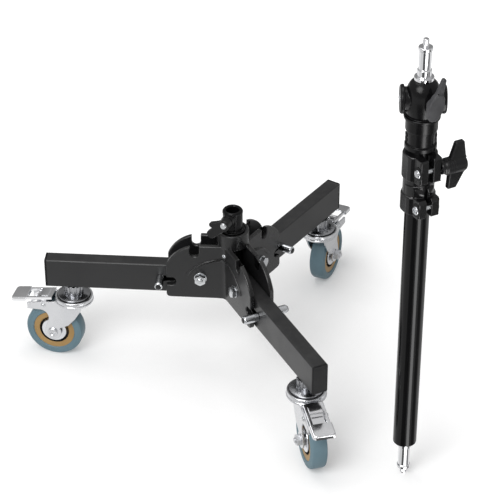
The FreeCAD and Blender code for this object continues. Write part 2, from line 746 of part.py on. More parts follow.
def bracket(number):
    """The casting between a leg and the next one: two cheeks joined at a filleted nose, under a third of
    the round boss."""
    second = joined([wing(-1), wing_rib(-1)])
    second.rotate(Vector(), Z, leg_spread)
    peak = pivot_height + rib_peak_share * wing_arc_radius
    boss = turned([(0, boss_start), (boss_radius, boss_start), (boss_radius, boss_top - boss_chamfer),
                   (boss_radius - boss_chamfer, boss_top), (boss_recess_radius, boss_top),
                   (boss_recess_radius, boss_top - boss_recess_depth), (0, boss_top - boss_recess_depth)])
    reach = 2 * boss_radius
    sector = [Vector()] + [on_circle(reach, turn) for turn in (0, leg_spread / 2, leg_spread)] + [Vector()]
    wedge = Part.Face(Part.makePolygon(sector)).extrude(Vector(0, 0, boss_top))
    body = [nose(0, wing_bottom, boss_start), nose(rib_height, peak - rib_width / 2, peak + rib_width / 2),
            boss.common(wedge), wing(1), wing_rib(1), second]
    slot = box(0, wing_outer_reach + cut_overrun, -wing_inner, wing_inner, wing_bottom - cut_overrun, boss_start)
    seam = box(0, reach, -side_gap / 2, side_gap / 2, boss_start - cut_overrun, boss_top + cut_overrun)
    cuts = [cylinder(socket_radius + running_fit, boss_top, Vector(0, 0, wing_bottom - cut_overrun)),
            cylinder(set_screw_radius + running_fit, boss_radius + cut_overrun,
                     Vector(0, 0, leg_top + set_screw_rise), on_circle(1, leg_spread / 2))]
    for cut in (slot, seam):
        other = cut.copy()
        other.rotate(Vector(), Z, leg_spread)
        cuts += [cut, other]
    return on_leg(joined(body).cut(cuts), number)


def bracket_screws():
    screws = []
    for azimuth in leg_azimuths:
        middle = azimuth + leg_spread / 2
        end = nose_radius
        z = leg_top + set_screw_rise
        body = cylinder(set_screw_radius, set_screw_length, on_circle(end - set_screw_length, middle, z),
                        on_circle(1, middle))
        key = prism(6, 2 * set_screw_socket, set_screw_length, on_circle(end - set_screw_length / 3, middle, z),
                    on_circle(1, middle))
        screws.append(body.cut(key))
    return Part.makeCompound(screws)


def socket_tube():
    """The socket with its drain and the threaded boss of the clamping screw."""
    seat, rim = boss_top - boss_recess_depth + running_fit, boss_top + socket_flange_rise
    body = turned([(socket_drain_diameter / 2, wing_bottom), (socket_radius, wing_bottom), (socket_radius, seat),
                   (socket_flange_radius, seat), (socket_flange_radius, rim - socket_flange_rise / 2),
                   (socket_flange_radius - socket_flange_rise / 2, rim), (socket_radius, rim),
                   (socket_radius, socket_top - socket_chamfer), (socket_radius - socket_chamfer, socket_top),
                   (socket_bore + socket_chamfer, socket_top), (socket_bore, socket_top - socket_chamfer),
                   (socket_bore, socket_top - socket_depth), (socket_drain_diameter / 2, socket_top - socket_depth)])
    z = socket_top - clamp_screw_drop
    inside = (socket_bore + socket_radius) / 2
    boss = cylinder(clamp_boss_radius, clamp_boss_reach - inside, on_circle(inside, clamp_screw_azimuth, z),
                    on_circle(1, clamp_screw_azimuth))
    bore = cylinder(socket_bore, socket_depth, Vector(0, 0, socket_top - socket_depth))
    thread = cylinder(clamp_screw_diameter / 2 + running_fit, clamp_boss_reach,
                      Vector(0, 0, z), on_circle(1, clamp_screw_azimuth))
    return joined([body, boss.cut(bore)]).cut(thread)


def clamp_screw_frame(shape):
    """Place a shape made along +X from the socket's axis, with its own Z up, at the clamping screw."""
    placed = shape.copy()
    placed.rotate(Vector(), Z, clamp_screw_azimuth)
    placed.translate(Vector(0, 0, socket_top - clamp_screw_drop))
    return placed


def socket_lever():
    """The clamping lever: a hub, a broad paddle and a thin upper arm."""
    start = clamp_boss_reach + side_gap
    hub = cylinder(lever_hub_radius, lever_hub_length, Vector(start, 0, 0), X)
    arm_start = start + lever_hub_length - lever_arm_thickness
    arms = []
    for radius, length, angle in ((lever_paddle_radius, lever_paddle_length, lever_paddle_angle),
                                  (lever_arm_radius, lever_arm_length, lever_arm_angle)):
        arm = tapered_arm(lever_root_radius, radius, length, lever_arm_thickness)
        arm.rotate(Vector(), Z, 180 + angle)
        arm.Placement = Placement(Vector(arm_start, 0, 0), Rotation(Y, Z, X)).multiply(arm.Placement)
        arms.append(arm)
    hole = cylinder(clamp_screw_diameter / 2 + running_fit, lever_hub_length + cut_overrun,
                    Vector(start - cut_overrun / 2, 0, 0), X)
    return clamp_screw_frame(joined([hub] + arms).cut(hole))


def tapered_arm(root, tip, length, thickness):
    """A flat arm along +X in the XY plane with round ends of two sizes, standing on z = 0."""
    lean = math.asin((root - tip) / length)
    up, over = math.cos(lean), math.sin(lean)
    a, b = Vector(root * over, root * up, 0), Vector(length + tip * over, tip * up, 0)
    c, d = Vector(length + tip * over, -tip * up, 0), Vector(root * over, -root * up, 0)
    edges = [Part.makeLine(a, b), Part.Arc(b, Vector(length + tip, 0, 0), c).toShape(),
             Part.makeLine(c, d), Part.Arc(d, Vector(-root, 0, 0), a).toShape()]
    return Part.Face(Part.Wire(edges)).extrude(Vector(0, 0, thickness))


def socket_lever_screw():
    """The clamping screw, drawn back so that its point clears the socket's bore."""
    start = socket_bore + side_gap
    end = clamp_boss_reach + side_gap + lever_hub_length
    point = clamp_screw_diameter / 8
    radius = clamp_screw_diameter / 2
    screw = turned([(0, start), (radius - point, start), (radius, start + point), (radius, end),
                    (lever_screw_head_radius + point, end),
                    (lever_screw_head_radius, end + lever_screw_head_height), (0, end + lever_screw_head_height)],
                   Vector(), X)
    return clamp_screw_frame(screw)


def pivot_hardware():
    """Bolts, nuts and washers of the three fold pivots, as three groups."""
    bolts, nuts, washers = [], [], []
    radius = pivot_bolt_diameter / 2
    for number in range(len(leg_azimuths)):
        centre = Vector(pivot_reach, 0, pivot_height)
        seat = wing_outer + washer_thickness
        shank = cylinder(radius, 2 * seat + pivot_nut_height + pivot_thread_end, centre - Y * seat, Y)
        head = prism(6, pivot_head_flats, pivot_head_height, centre - Y * (seat + pivot_head_height), Y)
        nut = prism(6, pivot_nut_flats, pivot_nut_height, centre + Y * seat, Y)
        nut = nut.cut(cylinder(radius + running_fit, pivot_nut_height, centre + Y * seat, Y))
        bolts.append(on_leg(joined([shank, head]), number))
        nuts.append(on_leg(nut, number))
        for y in (-seat, wing_outer):
            washers.append(on_leg(tube(washer_radius, radius + running_fit, washer_thickness, centre + Y * y, Y),
                                  number))
    return Part.makeCompound(bolts), Part.makeCompound(nuts), Part.makeCompound(washers)


# Column

def spigot_outline(waist, base, flange):
    """Half outline of a spigot from its tip (height 0) to its flange, as (radius, height) points."""
    pin, neck, stud = spigot_diameter / 2, spigot_waist_diameter / 2, spigot_tip_diameter / 2
    c = spigot_chamfer
    z1 = spigot_tip_length
    z2 = z1 + spigot_collar_length
    z3 = z2 + waist
    z4 = z3 + base
    z5 = z4 + flange
    return [(0, 0), (stud - c, 0), (stud, c), (stud, z1), (pin - c, z1), (pin, z1 + c), (pin, z2 - c),
            (neck, z2 + c), (neck, z3 - c), (pin, z3 + c), (pin, z4), (spigot_flange_radius, z4),
            (spigot_flange_radius, z5)]


def bottom_spigot():
    outline = spigot_outline(spigot_waist_length, spigot_base_length, spigot_flange_length)
    plug = column_bore - running_fit
    outline += [(plug, spigot_length), (plug, spigot_length + spigot_plug_length),
                (0, spigot_length + spigot_plug_length)]
    return turned(outline)


def top_spigot():
    outline = spigot_outline(top_waist_length, top_base_length, top_flange_length)
    top = outline[-1][1]
    end = top + spigot_plug_length / 2
    outline += [(head_core_radius, top), (head_core_radius, end), (0, end)]
    pin = turned(outline)
    pin.rotate(Vector(), X, 180)
    pin.translate(Vector(0, 0, housing_end + top))
    return pin


def outer_tube():
    return tube(column_radius, column_bore, tube_end - tube_start, Vector(0, 0, tube_start))


def riser_tube():
    return tube(riser_radius, riser_radius - riser_wall, head_start - riser_start, Vector(0, 0, riser_start))


def riser_plug():
    """The sliding shoe at the riser's foot, which runs on the outer tube's bore."""
    inside = riser_radius - riser_wall - running_fit
    shoe = column_bore - running_fit
    hole = inside - riser_wall
    return turned([(hole, riser_start - riser_plug_lip), (shoe, riser_start - riser_plug_lip),
                   (shoe, riser_start), (inside, riser_start), (inside, riser_start + riser_plug_length),
                   (hole, riser_start + riser_plug_length)])


def lug_frame(shape):
    """Turn a shape made with the lugs toward +X and the bolt along +Y to the lugs' direction."""
    placed = shape.copy()
    placed.rotate(Vector(), Z, clamp_lug_azimuth)
    return placed


def clamp_collar(start, height):
    c = clamp_chamfer
    ring = turned([(0, start), (clamp_radius - c, start), (clamp_radius, start + c / 2),
                   (clamp_radius, start + height - c / 2), (clamp_radius - c, start + height), (0, start + height)])
    flats = prism(clamp_facets, 2 * clamp_radius * clamp_facet_share, height, Vector(0, 0, start))
    flats.rotate(Vector(), Z, 180 / clamp_facets)
    ring = ring.common(flats)
    lug = box(0, clamp_lug_reach, -clamp_lug_half_width, clamp_lug_half_width, start, start + height)
    corners = [e for e in lug.Edges if e.BoundBox.XMin > clamp_lug_reach - running_fit
               and (e.BoundBox.ZLength > height / 2 or e.BoundBox.YLength > clamp_lug_half_width)]
    return joined([ring, lug.makeFillet(clamp_lug_corner, corners)])


def clamp_body():
    """Two split collars joined by a slit web: the lower grips the tube, the upper the riser."""
    lower = clamp_collar(lower_collar_start, lower_collar_height)
    upper = clamp_collar(upper_collar_start, upper_collar_height)
    web = cylinder(clamp_web_radius, clamp_web_height + 2 * clamp_chamfer,
                   Vector(0, 0, lower_collar_end - clamp_chamfer))
    height = upper_collar_end - lower_collar_start
    bores = [cylinder(column_radius + running_fit, upper_collar_start - lower_collar_start,
                      Vector(0, 0, lower_collar_start)),
             cylinder(riser_radius + running_fit, height, Vector(0, 0, lower_collar_start))]
    slit = box(0, clamp_lug_reach + cut_overrun, -clamp_slit / 2, clamp_slit / 2,
               lower_collar_start, upper_collar_end)
    kerf = box(0, clamp_radius + cut_overrun, -clamp_radius, clamp_radius, -running_fit - side_gap,
               running_fit + side_gap)
    kerf.rotate(Vector(), X, clamp_web_slit_tilt)
    kerf.translate(Vector(0, 0, upper_collar_start - clamp_chamfer))
    middle, bite = lower_collar_end + clamp_web_height / 2, clamp_web_height / 2 + clamp_notch_bite
    notch = plate([(clamp_lug_reach - clamp_notch_depth, middle), (clamp_lug_reach, middle + bite),
                   (clamp_lug_reach, middle - bite)], 2 * clamp_radius, -clamp_radius)
    bolt_holes, spots = [], [cylinder(handle_neck_radius + side_gap, clamp_radius,
                                      Vector(clamp_bolt_reach, clamp_lug_half_width, handle_height), Y)]
    for z in ((lower_collar_start + lower_collar_end) / 2, handle_height):
        bolt_holes.append(cylinder(clamp_bolt_diameter / 2 + running_fit, 2 * clamp_lug_half_width,
                                   Vector(clamp_bolt_reach, -clamp_lug_half_width, z), Y))
        spots.append(cylinder(clamp_head_radius + side_gap, clamp_radius,
                              Vector(clamp_bolt_reach, -clamp_lug_half_width - clamp_radius, z), Y))
    return lug_frame(joined([lower, upper, web]).cut(bores + [slit, kerf, notch] + bolt_holes + spots))


def clamp_screws():
    """The handle's bolt in the upper collar and the key screw in the lower one."""
    radius = clamp_bolt_diameter / 2
    screws = []
    for z, end in (((lower_collar_start + lower_collar_end) / 2, clamp_lug_half_width),
                   (handle_height, clamp_lug_half_width + handle_neck_length)):
        seat = Vector(clamp_bolt_reach, -clamp_lug_half_width, z)
        shank = cylinder(radius, clamp_lug_half_width + end, seat, Y)
        head = turned([(0, 0), (clamp_head_radius, 0), (clamp_head_radius, clamp_head_height / 2),
                       (clamp_head_radius * 2 / 3, clamp_head_height), (0, clamp_head_height)], seat, Y * -1)
        screw = joined([shank, head])
        if end == clamp_lug_half_width:
            key = prism(6, clamp_key_flats, clamp_key_depth, seat - Y * clamp_head_height, Y)
            screw = screw.cut(key)
        screws.append(lug_frame(screw))
    return Part.makeCompound(screws)


def clamp_handle():
    """The winged handle that tightens the riser."""
    start = clamp_lug_half_width + side_gap
    end = start + handle_length
    hub = turned([(0, 0), (handle_neck_radius, 0), (handle_neck_radius, handle_neck_length),
                  (handle_hub_radius, handle_neck_length + handle_neck_length / 2),
                  (handle_hub_radius, handle_length - handle_neck_length / 2),
                  (handle_hub_radius - handle_neck_length / 2, handle_length), (0, handle_length)],
                 Vector(clamp_bolt_reach, start, handle_height), Y)
    span, width, skew = handle_wing_half_span, handle_wing_width, handle_wing_skew
    middle = end - width - skew / 2
    root = width * 3 / 4
    outline = [(middle - skew - width / 2, -span), (middle - skew + width / 2, -span),
               (end, -root), (end, root), (middle + skew + width / 2, span),
               (middle + skew - width / 2, span), (middle - root, root), (middle - root, -root)]
    blade = Part.Face(Part.makePolygon([Vector(0, y, z) for y, z in outline + outline[:1]]))
    blade = blade.extrude(Vector(handle_wing_thickness, 0, 0))
    blade.translate(Vector(clamp_bolt_reach - handle_wing_thickness / 2, 0, handle_height))
    body = joined([hub, blade])
    hole = cylinder(clamp_bolt_diameter / 2 + running_fit, handle_neck_length + side_gap,
                    Vector(clamp_bolt_reach, start, handle_height), Y)
    seat = cylinder(handle_insert_radius, handle_insert_length,
                    Vector(clamp_bolt_reach, end - handle_insert_length, handle_height), Y)
    return lug_frame(body.cut([hole, seat]))


def handle_insert():
    """The bright nut seated in the outer face of the handle."""
    start = clamp_lug_half_width + side_gap + handle_length - handle_insert_length
    nut = cylinder(handle_insert_radius - running_fit, handle_insert_length,
                   Vector(clamp_bolt_reach, start, handle_height), Y)
    key = prism(6, clamp_key_flats, clamp_key_depth,
                Vector(clamp_bolt_reach, start + handle_insert_length - clamp_key_depth, handle_height), Y)
    return lug_frame(nut.cut(key))


# Head

def head_collar():
    """The stepped collar fixed on the riser, which the head turns on."""
    z0 = head_start
    z1 = z0 + head_flange_height
    z2 = z1 + head_body_height
    z3 = z2 + head_step_height
    z4 = z3 + head_drum_height
    c = spigot_chamfer
    body = turned([(0, z0), (head_flange_radius, z0), (head_flange_radius, z1 - c), (head_flange_radius - c, z1),
                   (head_body_radius, z1), (head_body_radius, z2), (head_step_radius, z2), (head_step_radius, z3),
                   (head_drum_radius, z3 + c), (head_drum_radius, z4 - side_gap), (0, z4 - side_gap)])
    cuts = [cylinder(riser_radius - 2 * riser_wall - running_fit, z3 - z0 - riser_wall, Vector(0, 0, z0))]
    lug_reach = head_body_radius + head_lug_rise
    lugs = [box(-lug_reach, lug_reach, -head_lug_width / 2, head_lug_width / 2, z, z + head_lug_height)
            for z in (z1 + head_lug_gap, z1 + 2 * head_lug_gap + head_lug_height)]
    sleeve = tube(riser_radius - riser_wall - running_fit, riser_radius - 2 * riser_wall - running_fit,
                  head_flange_height * 2, Vector(0, 0, z0 - head_flange_height * 2))
    post = cylinder(head_core_radius, head_ring_height + head_core_radius, Vector(0, 0, z4 - side_gap))
    return joined([joined([body] + lugs).cut(cuts), sleeve, post])


def head_housing():
    """The barrel-shaped housing with two ears that carry the side discs."""
    rim = [(0, ring_start), (head_ring_radius - spigot_chamfer, ring_start),
           (head_ring_radius, ring_start + spigot_chamfer), (head_ring_radius, housing_start)]
    barrel = [(r * head_housing_radius, housing_start + h * head_housing_height) for r, h in head_housing_shares]
    body = turned(rim + barrel + [(0, housing_end)])
    rise = housing_start + head_disc_rise
    reach = head_disc_reach - head_disc_thickness
    ears = cylinder(head_ear_radius, 2 * reach, Vector(-reach, 0, rise), X)
    post_hole = cylinder(head_core_radius + running_fit, head_ring_height + head_core_radius,
                         Vector(0, 0, ring_start - side_gap / 2))
    pin_hole = cylinder(head_core_radius + running_fit, spigot_plug_length / 2 + side_gap,
                        Vector(0, 0, housing_end - spigot_plug_length / 2 - side_gap))
    knob_axis = on_circle(1, knob_azimuth)
    stud_start = knob_start - knob_stud_depth - side_gap
    stud = cylinder(knob_stud_diameter / 2 + running_fit, knob_stud_depth + head_ring_radius,
                    knob_axis * stud_start + Z * (housing_start + knob_rise), knob_axis)
    face = box(knob_start - side_gap, knob_start + head_ring_radius, -head_ring_radius, head_ring_radius,
               housing_start, housing_end)
    face.rotate(Vector(), Z, knob_azimuth)
    return joined([body, ears]).cut([post_hole, pin_hole, stud, face])


def head_discs():
    """The two side discs that cover the ends of the ears."""
    rise = housing_start + head_disc_rise
    discs = []
    r, t, c = head_disc_radius, head_disc_thickness, head_disc_round
    for side in (-1, 1):
        outline = [(0, 0), (r, 0), (r, t - c), (r - c / 3, t - c / 3), (r - c, t), (0, t)]
        discs.append(turned(outline, Vector(side * (head_disc_reach - t), 0, rise), X * side))
    return Part.makeCompound(discs)


def wing_knob():
    """The broad knob with a horn that locks the head, with its stud."""
    z = housing_start + knob_rise
    neck_end = knob_start + knob_neck_length
    hub_end = neck_end + knob_hub_length
    stud = turned([(0, knob_start - knob_stud_depth), (knob_stud_diameter / 2, knob_start - knob_stud_depth),
                   (knob_stud_diameter / 2, knob_start), (knob_neck_radius, knob_start),
                   (knob_neck_radius, neck_end), (knob_hub_radius, neck_end),
                   (knob_hub_radius, hub_end - spigot_chamfer * 2), (knob_hub_radius - spigot_chamfer * 2, hub_end),
                   (0, hub_end)], Vector(), X)
    arms = [stud]
    for root, tip, length, thickness, turn in (
            (knob_body_radius, knob_body_end_radius, knob_body_length, knob_body_thickness, 90),
            (knob_body_radius, knob_body_end_radius, knob_body_length, knob_body_thickness, -90),
            (knob_horn_root_radius, knob_horn_tip_radius, knob_horn_length - knob_horn_tip_radius,
             knob_horn_thickness, 90)):
        arm = tapered_arm(root, tip, length, thickness)
        arm.rotate(Vector(), Z, turn - knob_tilt)
        arm.Placement = Placement(Vector(neck_end, 0, 0), Rotation(Y, Z, X)).multiply(arm.Placement)
        arms.append(arm)
    knob = joined(arms)
    knob.rotate(Vector(), Z, knob_azimuth)
    knob.translate(Vector(0, 0, z))
    return knob


# Write every piece

def main():
    for number in range(len(leg_azimuths)):
        name = str(number + 1)
        save("bracket_" + name, bracket(number))
        save("leg_tube_" + name, on_leg(leg_tube(), number))
        save("leg_cap_" + name, on_leg(leg_cap(), number))
        save("lock_pin_" + name, on_leg(lock_pin(), number))
        save("lock_spring_" + name, on_leg(lock_spring(), number))
        for piece, make in (("stem", caster_stem), ("nut", stem_nut), ("fork", fork), ("axle", axle),
                            ("tyre", tyre), ("core", wheel_core), ("guards", thread_guards), ("pedal", pedal)):
            save("caster_" + piece + "_" + name, on_caster(make(), number))
    bolts, nuts, washers = pivot_hardware()
    save("pivot_bolts", bolts)
    save("pivot_nuts", nuts)
    save("pivot_washers", washers)
    save("bracket_screws", bracket_screws())
    save("socket_tube", socket_tube())
    save("socket_lever", socket_lever())
    save("socket_lever_screw", socket_lever_screw())
    for name, make in (("bottom_spigot", bottom_spigot), ("outer_tube", outer_tube), ("clamp_body", clamp_body),
                       ("clamp_screws", clamp_screws), ("clamp_handle", clamp_handle),
                       ("handle_insert", handle_insert), ("riser_tube", riser_tube), ("riser_plug", riser_plug),
                       ("head_collar", head_collar), ("head_housing", head_housing), ("head_discs", head_discs),
                       ("top_spigot", top_spigot), ("wing_knob", wing_knob)):
        save(name, on_column(make()))


main()
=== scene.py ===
"""Looks of a wheeled light stand: a cast hub, three folding legs on braked casters and a lift-out column.

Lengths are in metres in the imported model's frame: +Z up, the origin on the floor under the hub's axis.
"""
import json
import logging
import math
from collections.abc import Sequence
from dataclasses import dataclass
from enum import Enum
from functools import cache

import bmesh
import bpy
from mathutils import Matrix, Vector


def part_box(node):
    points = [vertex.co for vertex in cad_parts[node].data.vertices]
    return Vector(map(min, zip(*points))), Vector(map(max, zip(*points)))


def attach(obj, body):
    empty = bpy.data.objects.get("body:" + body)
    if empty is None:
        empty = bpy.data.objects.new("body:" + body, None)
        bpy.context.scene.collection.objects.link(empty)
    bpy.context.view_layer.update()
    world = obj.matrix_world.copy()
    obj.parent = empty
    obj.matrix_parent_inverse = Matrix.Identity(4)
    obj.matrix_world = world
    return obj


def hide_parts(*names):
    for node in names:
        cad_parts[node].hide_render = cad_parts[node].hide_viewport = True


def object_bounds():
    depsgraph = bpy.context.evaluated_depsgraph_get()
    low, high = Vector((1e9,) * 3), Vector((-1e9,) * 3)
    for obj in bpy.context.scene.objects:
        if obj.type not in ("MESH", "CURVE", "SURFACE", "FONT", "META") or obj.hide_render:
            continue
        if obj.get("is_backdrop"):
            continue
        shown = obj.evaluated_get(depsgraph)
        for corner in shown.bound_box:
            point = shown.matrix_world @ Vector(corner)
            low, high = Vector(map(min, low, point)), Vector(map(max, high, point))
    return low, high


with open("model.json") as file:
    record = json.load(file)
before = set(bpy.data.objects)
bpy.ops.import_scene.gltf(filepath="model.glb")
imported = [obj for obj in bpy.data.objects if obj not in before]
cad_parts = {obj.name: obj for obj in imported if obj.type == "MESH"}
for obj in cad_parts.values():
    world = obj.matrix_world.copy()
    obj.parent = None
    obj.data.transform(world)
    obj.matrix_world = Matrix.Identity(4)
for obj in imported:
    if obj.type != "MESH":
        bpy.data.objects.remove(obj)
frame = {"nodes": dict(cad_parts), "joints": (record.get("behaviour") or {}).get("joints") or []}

log = logging.getLogger("light_stand")

LEGS = (1, 2, 3)
FULL_TURN = 2 * math.pi
X_AXIS, Z_AXIS = Vector((1, 0, 0)), Vector((0, 0, 1))
WHITE = (1, 1, 1, 1)
TINY = 0.00001    # the radius of a turned face's centre, and how near points are joined
THREAD_PITCH = 0.00125
THREAD_FIT = 0.00005    # from a thread's crest to the hole round it

Rgb = tuple[int, int, int]
Profile = Sequence[tuple[float, float]]


class Slot(Enum):
    """The record's material slots."""

    LEG_PAINT = "leg_paint"
    CASTING = "casting_black"
    COLUMN = "column_black"
    STEEL = "bright_steel"
    ZINC = "zinc_plate"
    SPRING = "spring_steel"
    GUARD = "guard_metal"
    TYRE = "tyre_grey"
    CORE = "core_ochre"
    PEDAL = "pedal_grey"
    MOULDED = "moulded_black"


class Effect(Enum):
    """The shared surface effects: each is a shader node group, built by the method of its name."""

    RUB_AND_HIGHLIGHT = "rub_and_highlight_edges"
    GRAIN = "surface_grain"
    LINES = "turned_lines"
    DUST = "settled_dust"


def linear(colour: Rgb) -> tuple[float, ...]:
    """Turn an 8-bit display colour into linear light.

    Args:
        colour: Red, green and blue from 0 to 255.

    Returns:
        The linear colour with an alpha of 1.
    """
    shares = [value / 255 for value in colour]
    return *(s / 12.92 if s <= 0.04045 else ((s + 0.055) / 1.055) ** 2.4 for s in shares), 1.0


class Graph:
    """A node tree with short ways to add and join nodes."""

    def __init__(self, tree: bpy.types.NodeTree) -> None:
        """Keep the tree that the nodes go into."""
        self.tree = tree

    def add(self, kind: str, values: dict | None = None, **settings: object) -> bpy.types.Node:
        """Add a node.

        Args:
            kind: The node's type name, for a shader node without its common start.
            values: What each input gets, as feed takes it.
            settings: The node's own properties.

        Returns:
            The new node.
        """
        whole = kind.startswith(("Node", "Geometry", "Function"))
        node = self.tree.nodes.new(kind if whole else "ShaderNode" + kind)
        for name, value in settings.items():
            setattr(node, name, value)
        for name, value in (values or {}).items():
            self.feed(node.inputs[name], value)
        return node

    def feed(self, socket: bpy.types.NodeSocket, value: object) -> None:
        """Fill an input.

        Args:
            socket: The input.
            value: An output socket, a node whose first output is meant, or a number, colour or vector.
        """
        if isinstance(value, bpy.types.Node):
            value = value.outputs[0]
        if isinstance(value, bpy.types.NodeSocket):
            self.tree.links.new(value, socket)
        else:
            socket.default_value = value

    def math(self, operation: str, *values: object) -> bpy.types.Node:
        """Return a Math node with its one or two inputs."""
        return self.add("Math", dict(enumerate(values)), operation=operation)

    def between(self, value: object, low: float, high: float, start: float = 0.0,
                end: float = 1.0) -> bpy.types.Node:
        """Map a value from one range to another, with a smooth start and end.

        Args:
            value: What is mapped.
            low: The value that gives start.
            high: The value that gives end.
            start: The result at low.
            end: The result at high.

        Returns:
            The node.
        """
        ends = {"Value": value, "From Min": low, "From Max": high, "To Min": start, "To Max": end}
        return self.add("MapRange", ends, interpolation_type="SMOOTHSTEP")

    def dot(self, first: object, second: object) -> bpy.types.NodeSocket:
        """Return the dot product of two vectors."""
        return self.add("VectorMath", {0: first, 1: second}, operation="DOT_PRODUCT").outputs["Value"]

    def length(self, value: object) -> bpy.types.NodeSocket:
        """Return a vector's length."""
        return self.add("VectorMath", {0: value}, operation="LENGTH").outputs["Value"]

    def blend(self, share: object, first: object, second: object) -> bpy.types.NodeSocket:
        """Mix two colours.

        Args:
            share: How much of the second, from 0 to 1.
            first: The colour at 0.
            second: The colour at 1.

        Returns:
            The mixed colour.
        """
        node = self.add("Mix", data_type="RGBA")
        for place, value in ((0, share), (6, first), (7, second)):
            self.feed(node.inputs[place], value)
        return node.outputs[2]


class EffectShop:
    """Builds each shared effect's node group once."""

    @cache
    def get(self, effect: Effect) -> bpy.types.NodeTree:
        """Return an effect's group, built on first use."""
        return getattr(self, effect.value)()

    @staticmethod
    def open_group(effect: Effect, inputs: dict[str, float], outputs: Sequence[str],
                   vector: str = "") -> tuple[Graph, bpy.types.NodeOutputs, bpy.types.NodeInputs]:
        """Make an empty group with named sockets.

        Args:
            effect: The effect that it is for.
            inputs: Each input's name and usual value.
            outputs: The outputs' names.
            vector: The name of a vector input, if it has one.

        Returns:
            The group's graph, what it is given and what it gives.
        """
        tree = bpy.data.node_groups.new(effect.value, "ShaderNodeTree")
        for label, value in inputs.items():
            socket = tree.interface.new_socket(label, in_out="INPUT", socket_type="NodeSocketFloat")
            socket.default_value = value
        if vector:
            tree.interface.new_socket(vector, in_out="INPUT", socket_type="NodeSocketVector")
        for label in outputs:
            tree.interface.new_socket(label, in_out="OUTPUT", socket_type="NodeSocketFloat")
        graph = Graph(tree)
        return graph, graph.add("NodeGroupInput").outputs, graph.add("NodeGroupOutput").inputs

    def rub_and_highlight_edges(self) -> bpy.types.NodeTree:
        """Build the mask of edges where the surface turns sharply: rub marks, and a painted edge highlight.

        Returns:
            The group.
        """
        graph, given, made = self.open_group(Effect.RUB_AND_HIGHLIGHT, {"Reach": 0.0006, "Break Scale": 260.0},
                                             ["Mask"])
        place = graph.add("TexCoord").outputs["Object"]
        smooth = graph.add("Bevel", {"Radius": given["Reach"]}, samples=4)
        flat = graph.add("NewGeometry").outputs["Normal"]
        turn = graph.between(graph.math("SUBTRACT", 1.0, graph.dot(smooth, flat)), 0.01, 0.12)
        noise = graph.add("TexNoise", {"Vector": place, "Scale": given["Break Scale"], "Detail": 4.0})
        graph.feed(made["Mask"], graph.math("MULTIPLY", turn, graph.between(noise, 0.38, 0.62)))
        return graph.tree

    def surface_grain(self) -> bpy.types.NodeTree:
        """Build the fine pebble of paint or plastic, and the slow cloud over it.

        Returns:
            The group.
        """
        graph, given, made = self.open_group(Effect.GRAIN, {"Grain Scale": 900.0, "Cloud Scale": 22.0},
                                             ["Height", "Cloud"])
        place = graph.add("TexCoord").outputs["Object"]
        fine, cloud = (
            graph.add("TexNoise", {"Vector": place, "Scale": given[scale], "Detail": detail,
                                   "Roughness": rough})
            for scale, detail, rough in (("Grain Scale", 3.0, 0.6), ("Cloud Scale", 5.0, 0.55)))
        graph.feed(made["Height"], fine)
        graph.feed(made["Cloud"], graph.between(cloud, 0.3, 0.7))
        return graph.tree

    def turned_lines(self) -> bpy.types.NodeTree:
        """Build fine lines across one direction, as a lathe or a draw die leaves them.

        Returns:
            The group.
        """
        graph, given, made = self.open_group(Effect.LINES, {"Density": 2600.0}, ["Height", "Streak"],
                                             "Direction")
        along = graph.dot(graph.add("TexCoord").outputs["Object"], given["Direction"])
        wide = graph.math("MULTIPLY", given["Density"], 0.09)
        fine, slow = (
            graph.add("TexNoise", {"W": graph.math("MULTIPLY", along, density), "Scale": 1.0, "Detail": 2.0},
                      noise_dimensions="1D") for density in (given["Density"], wide))
        graph.feed(made["Height"], fine)
        graph.feed(made["Streak"], graph.between(slow, 0.3, 0.7))
        return graph.tree

    def settled_dust(self) -> bpy.types.NodeTree:
        """Build the mask of light dust on faces that look upward.

        Returns:
            The group.
        """
        graph, given, made = self.open_group(Effect.DUST, {"Amount": 0.1, "Patch Scale": 60.0}, ["Mask"])
        place = graph.add("TexCoord").outputs["Object"]
        rise = graph.add("SeparateXYZ", {0: graph.add("NewGeometry").outputs["Normal"]}).outputs["Z"]
        patch = graph.add("TexNoise", {"Vector": place, "Scale": given["Patch Scale"], "Detail": 6.0,
                                       "Roughness": 0.65})
        lying = graph.math("MULTIPLY", graph.between(rise, 0.3, 0.95), graph.between(patch, 0.35, 0.75))
        mask = graph.add("Math", {0: lying, 1: given["Amount"]}, operation="MULTIPLY", use_clamp=True)
        graph.feed(made["Mask"], mask)
        return graph.tree


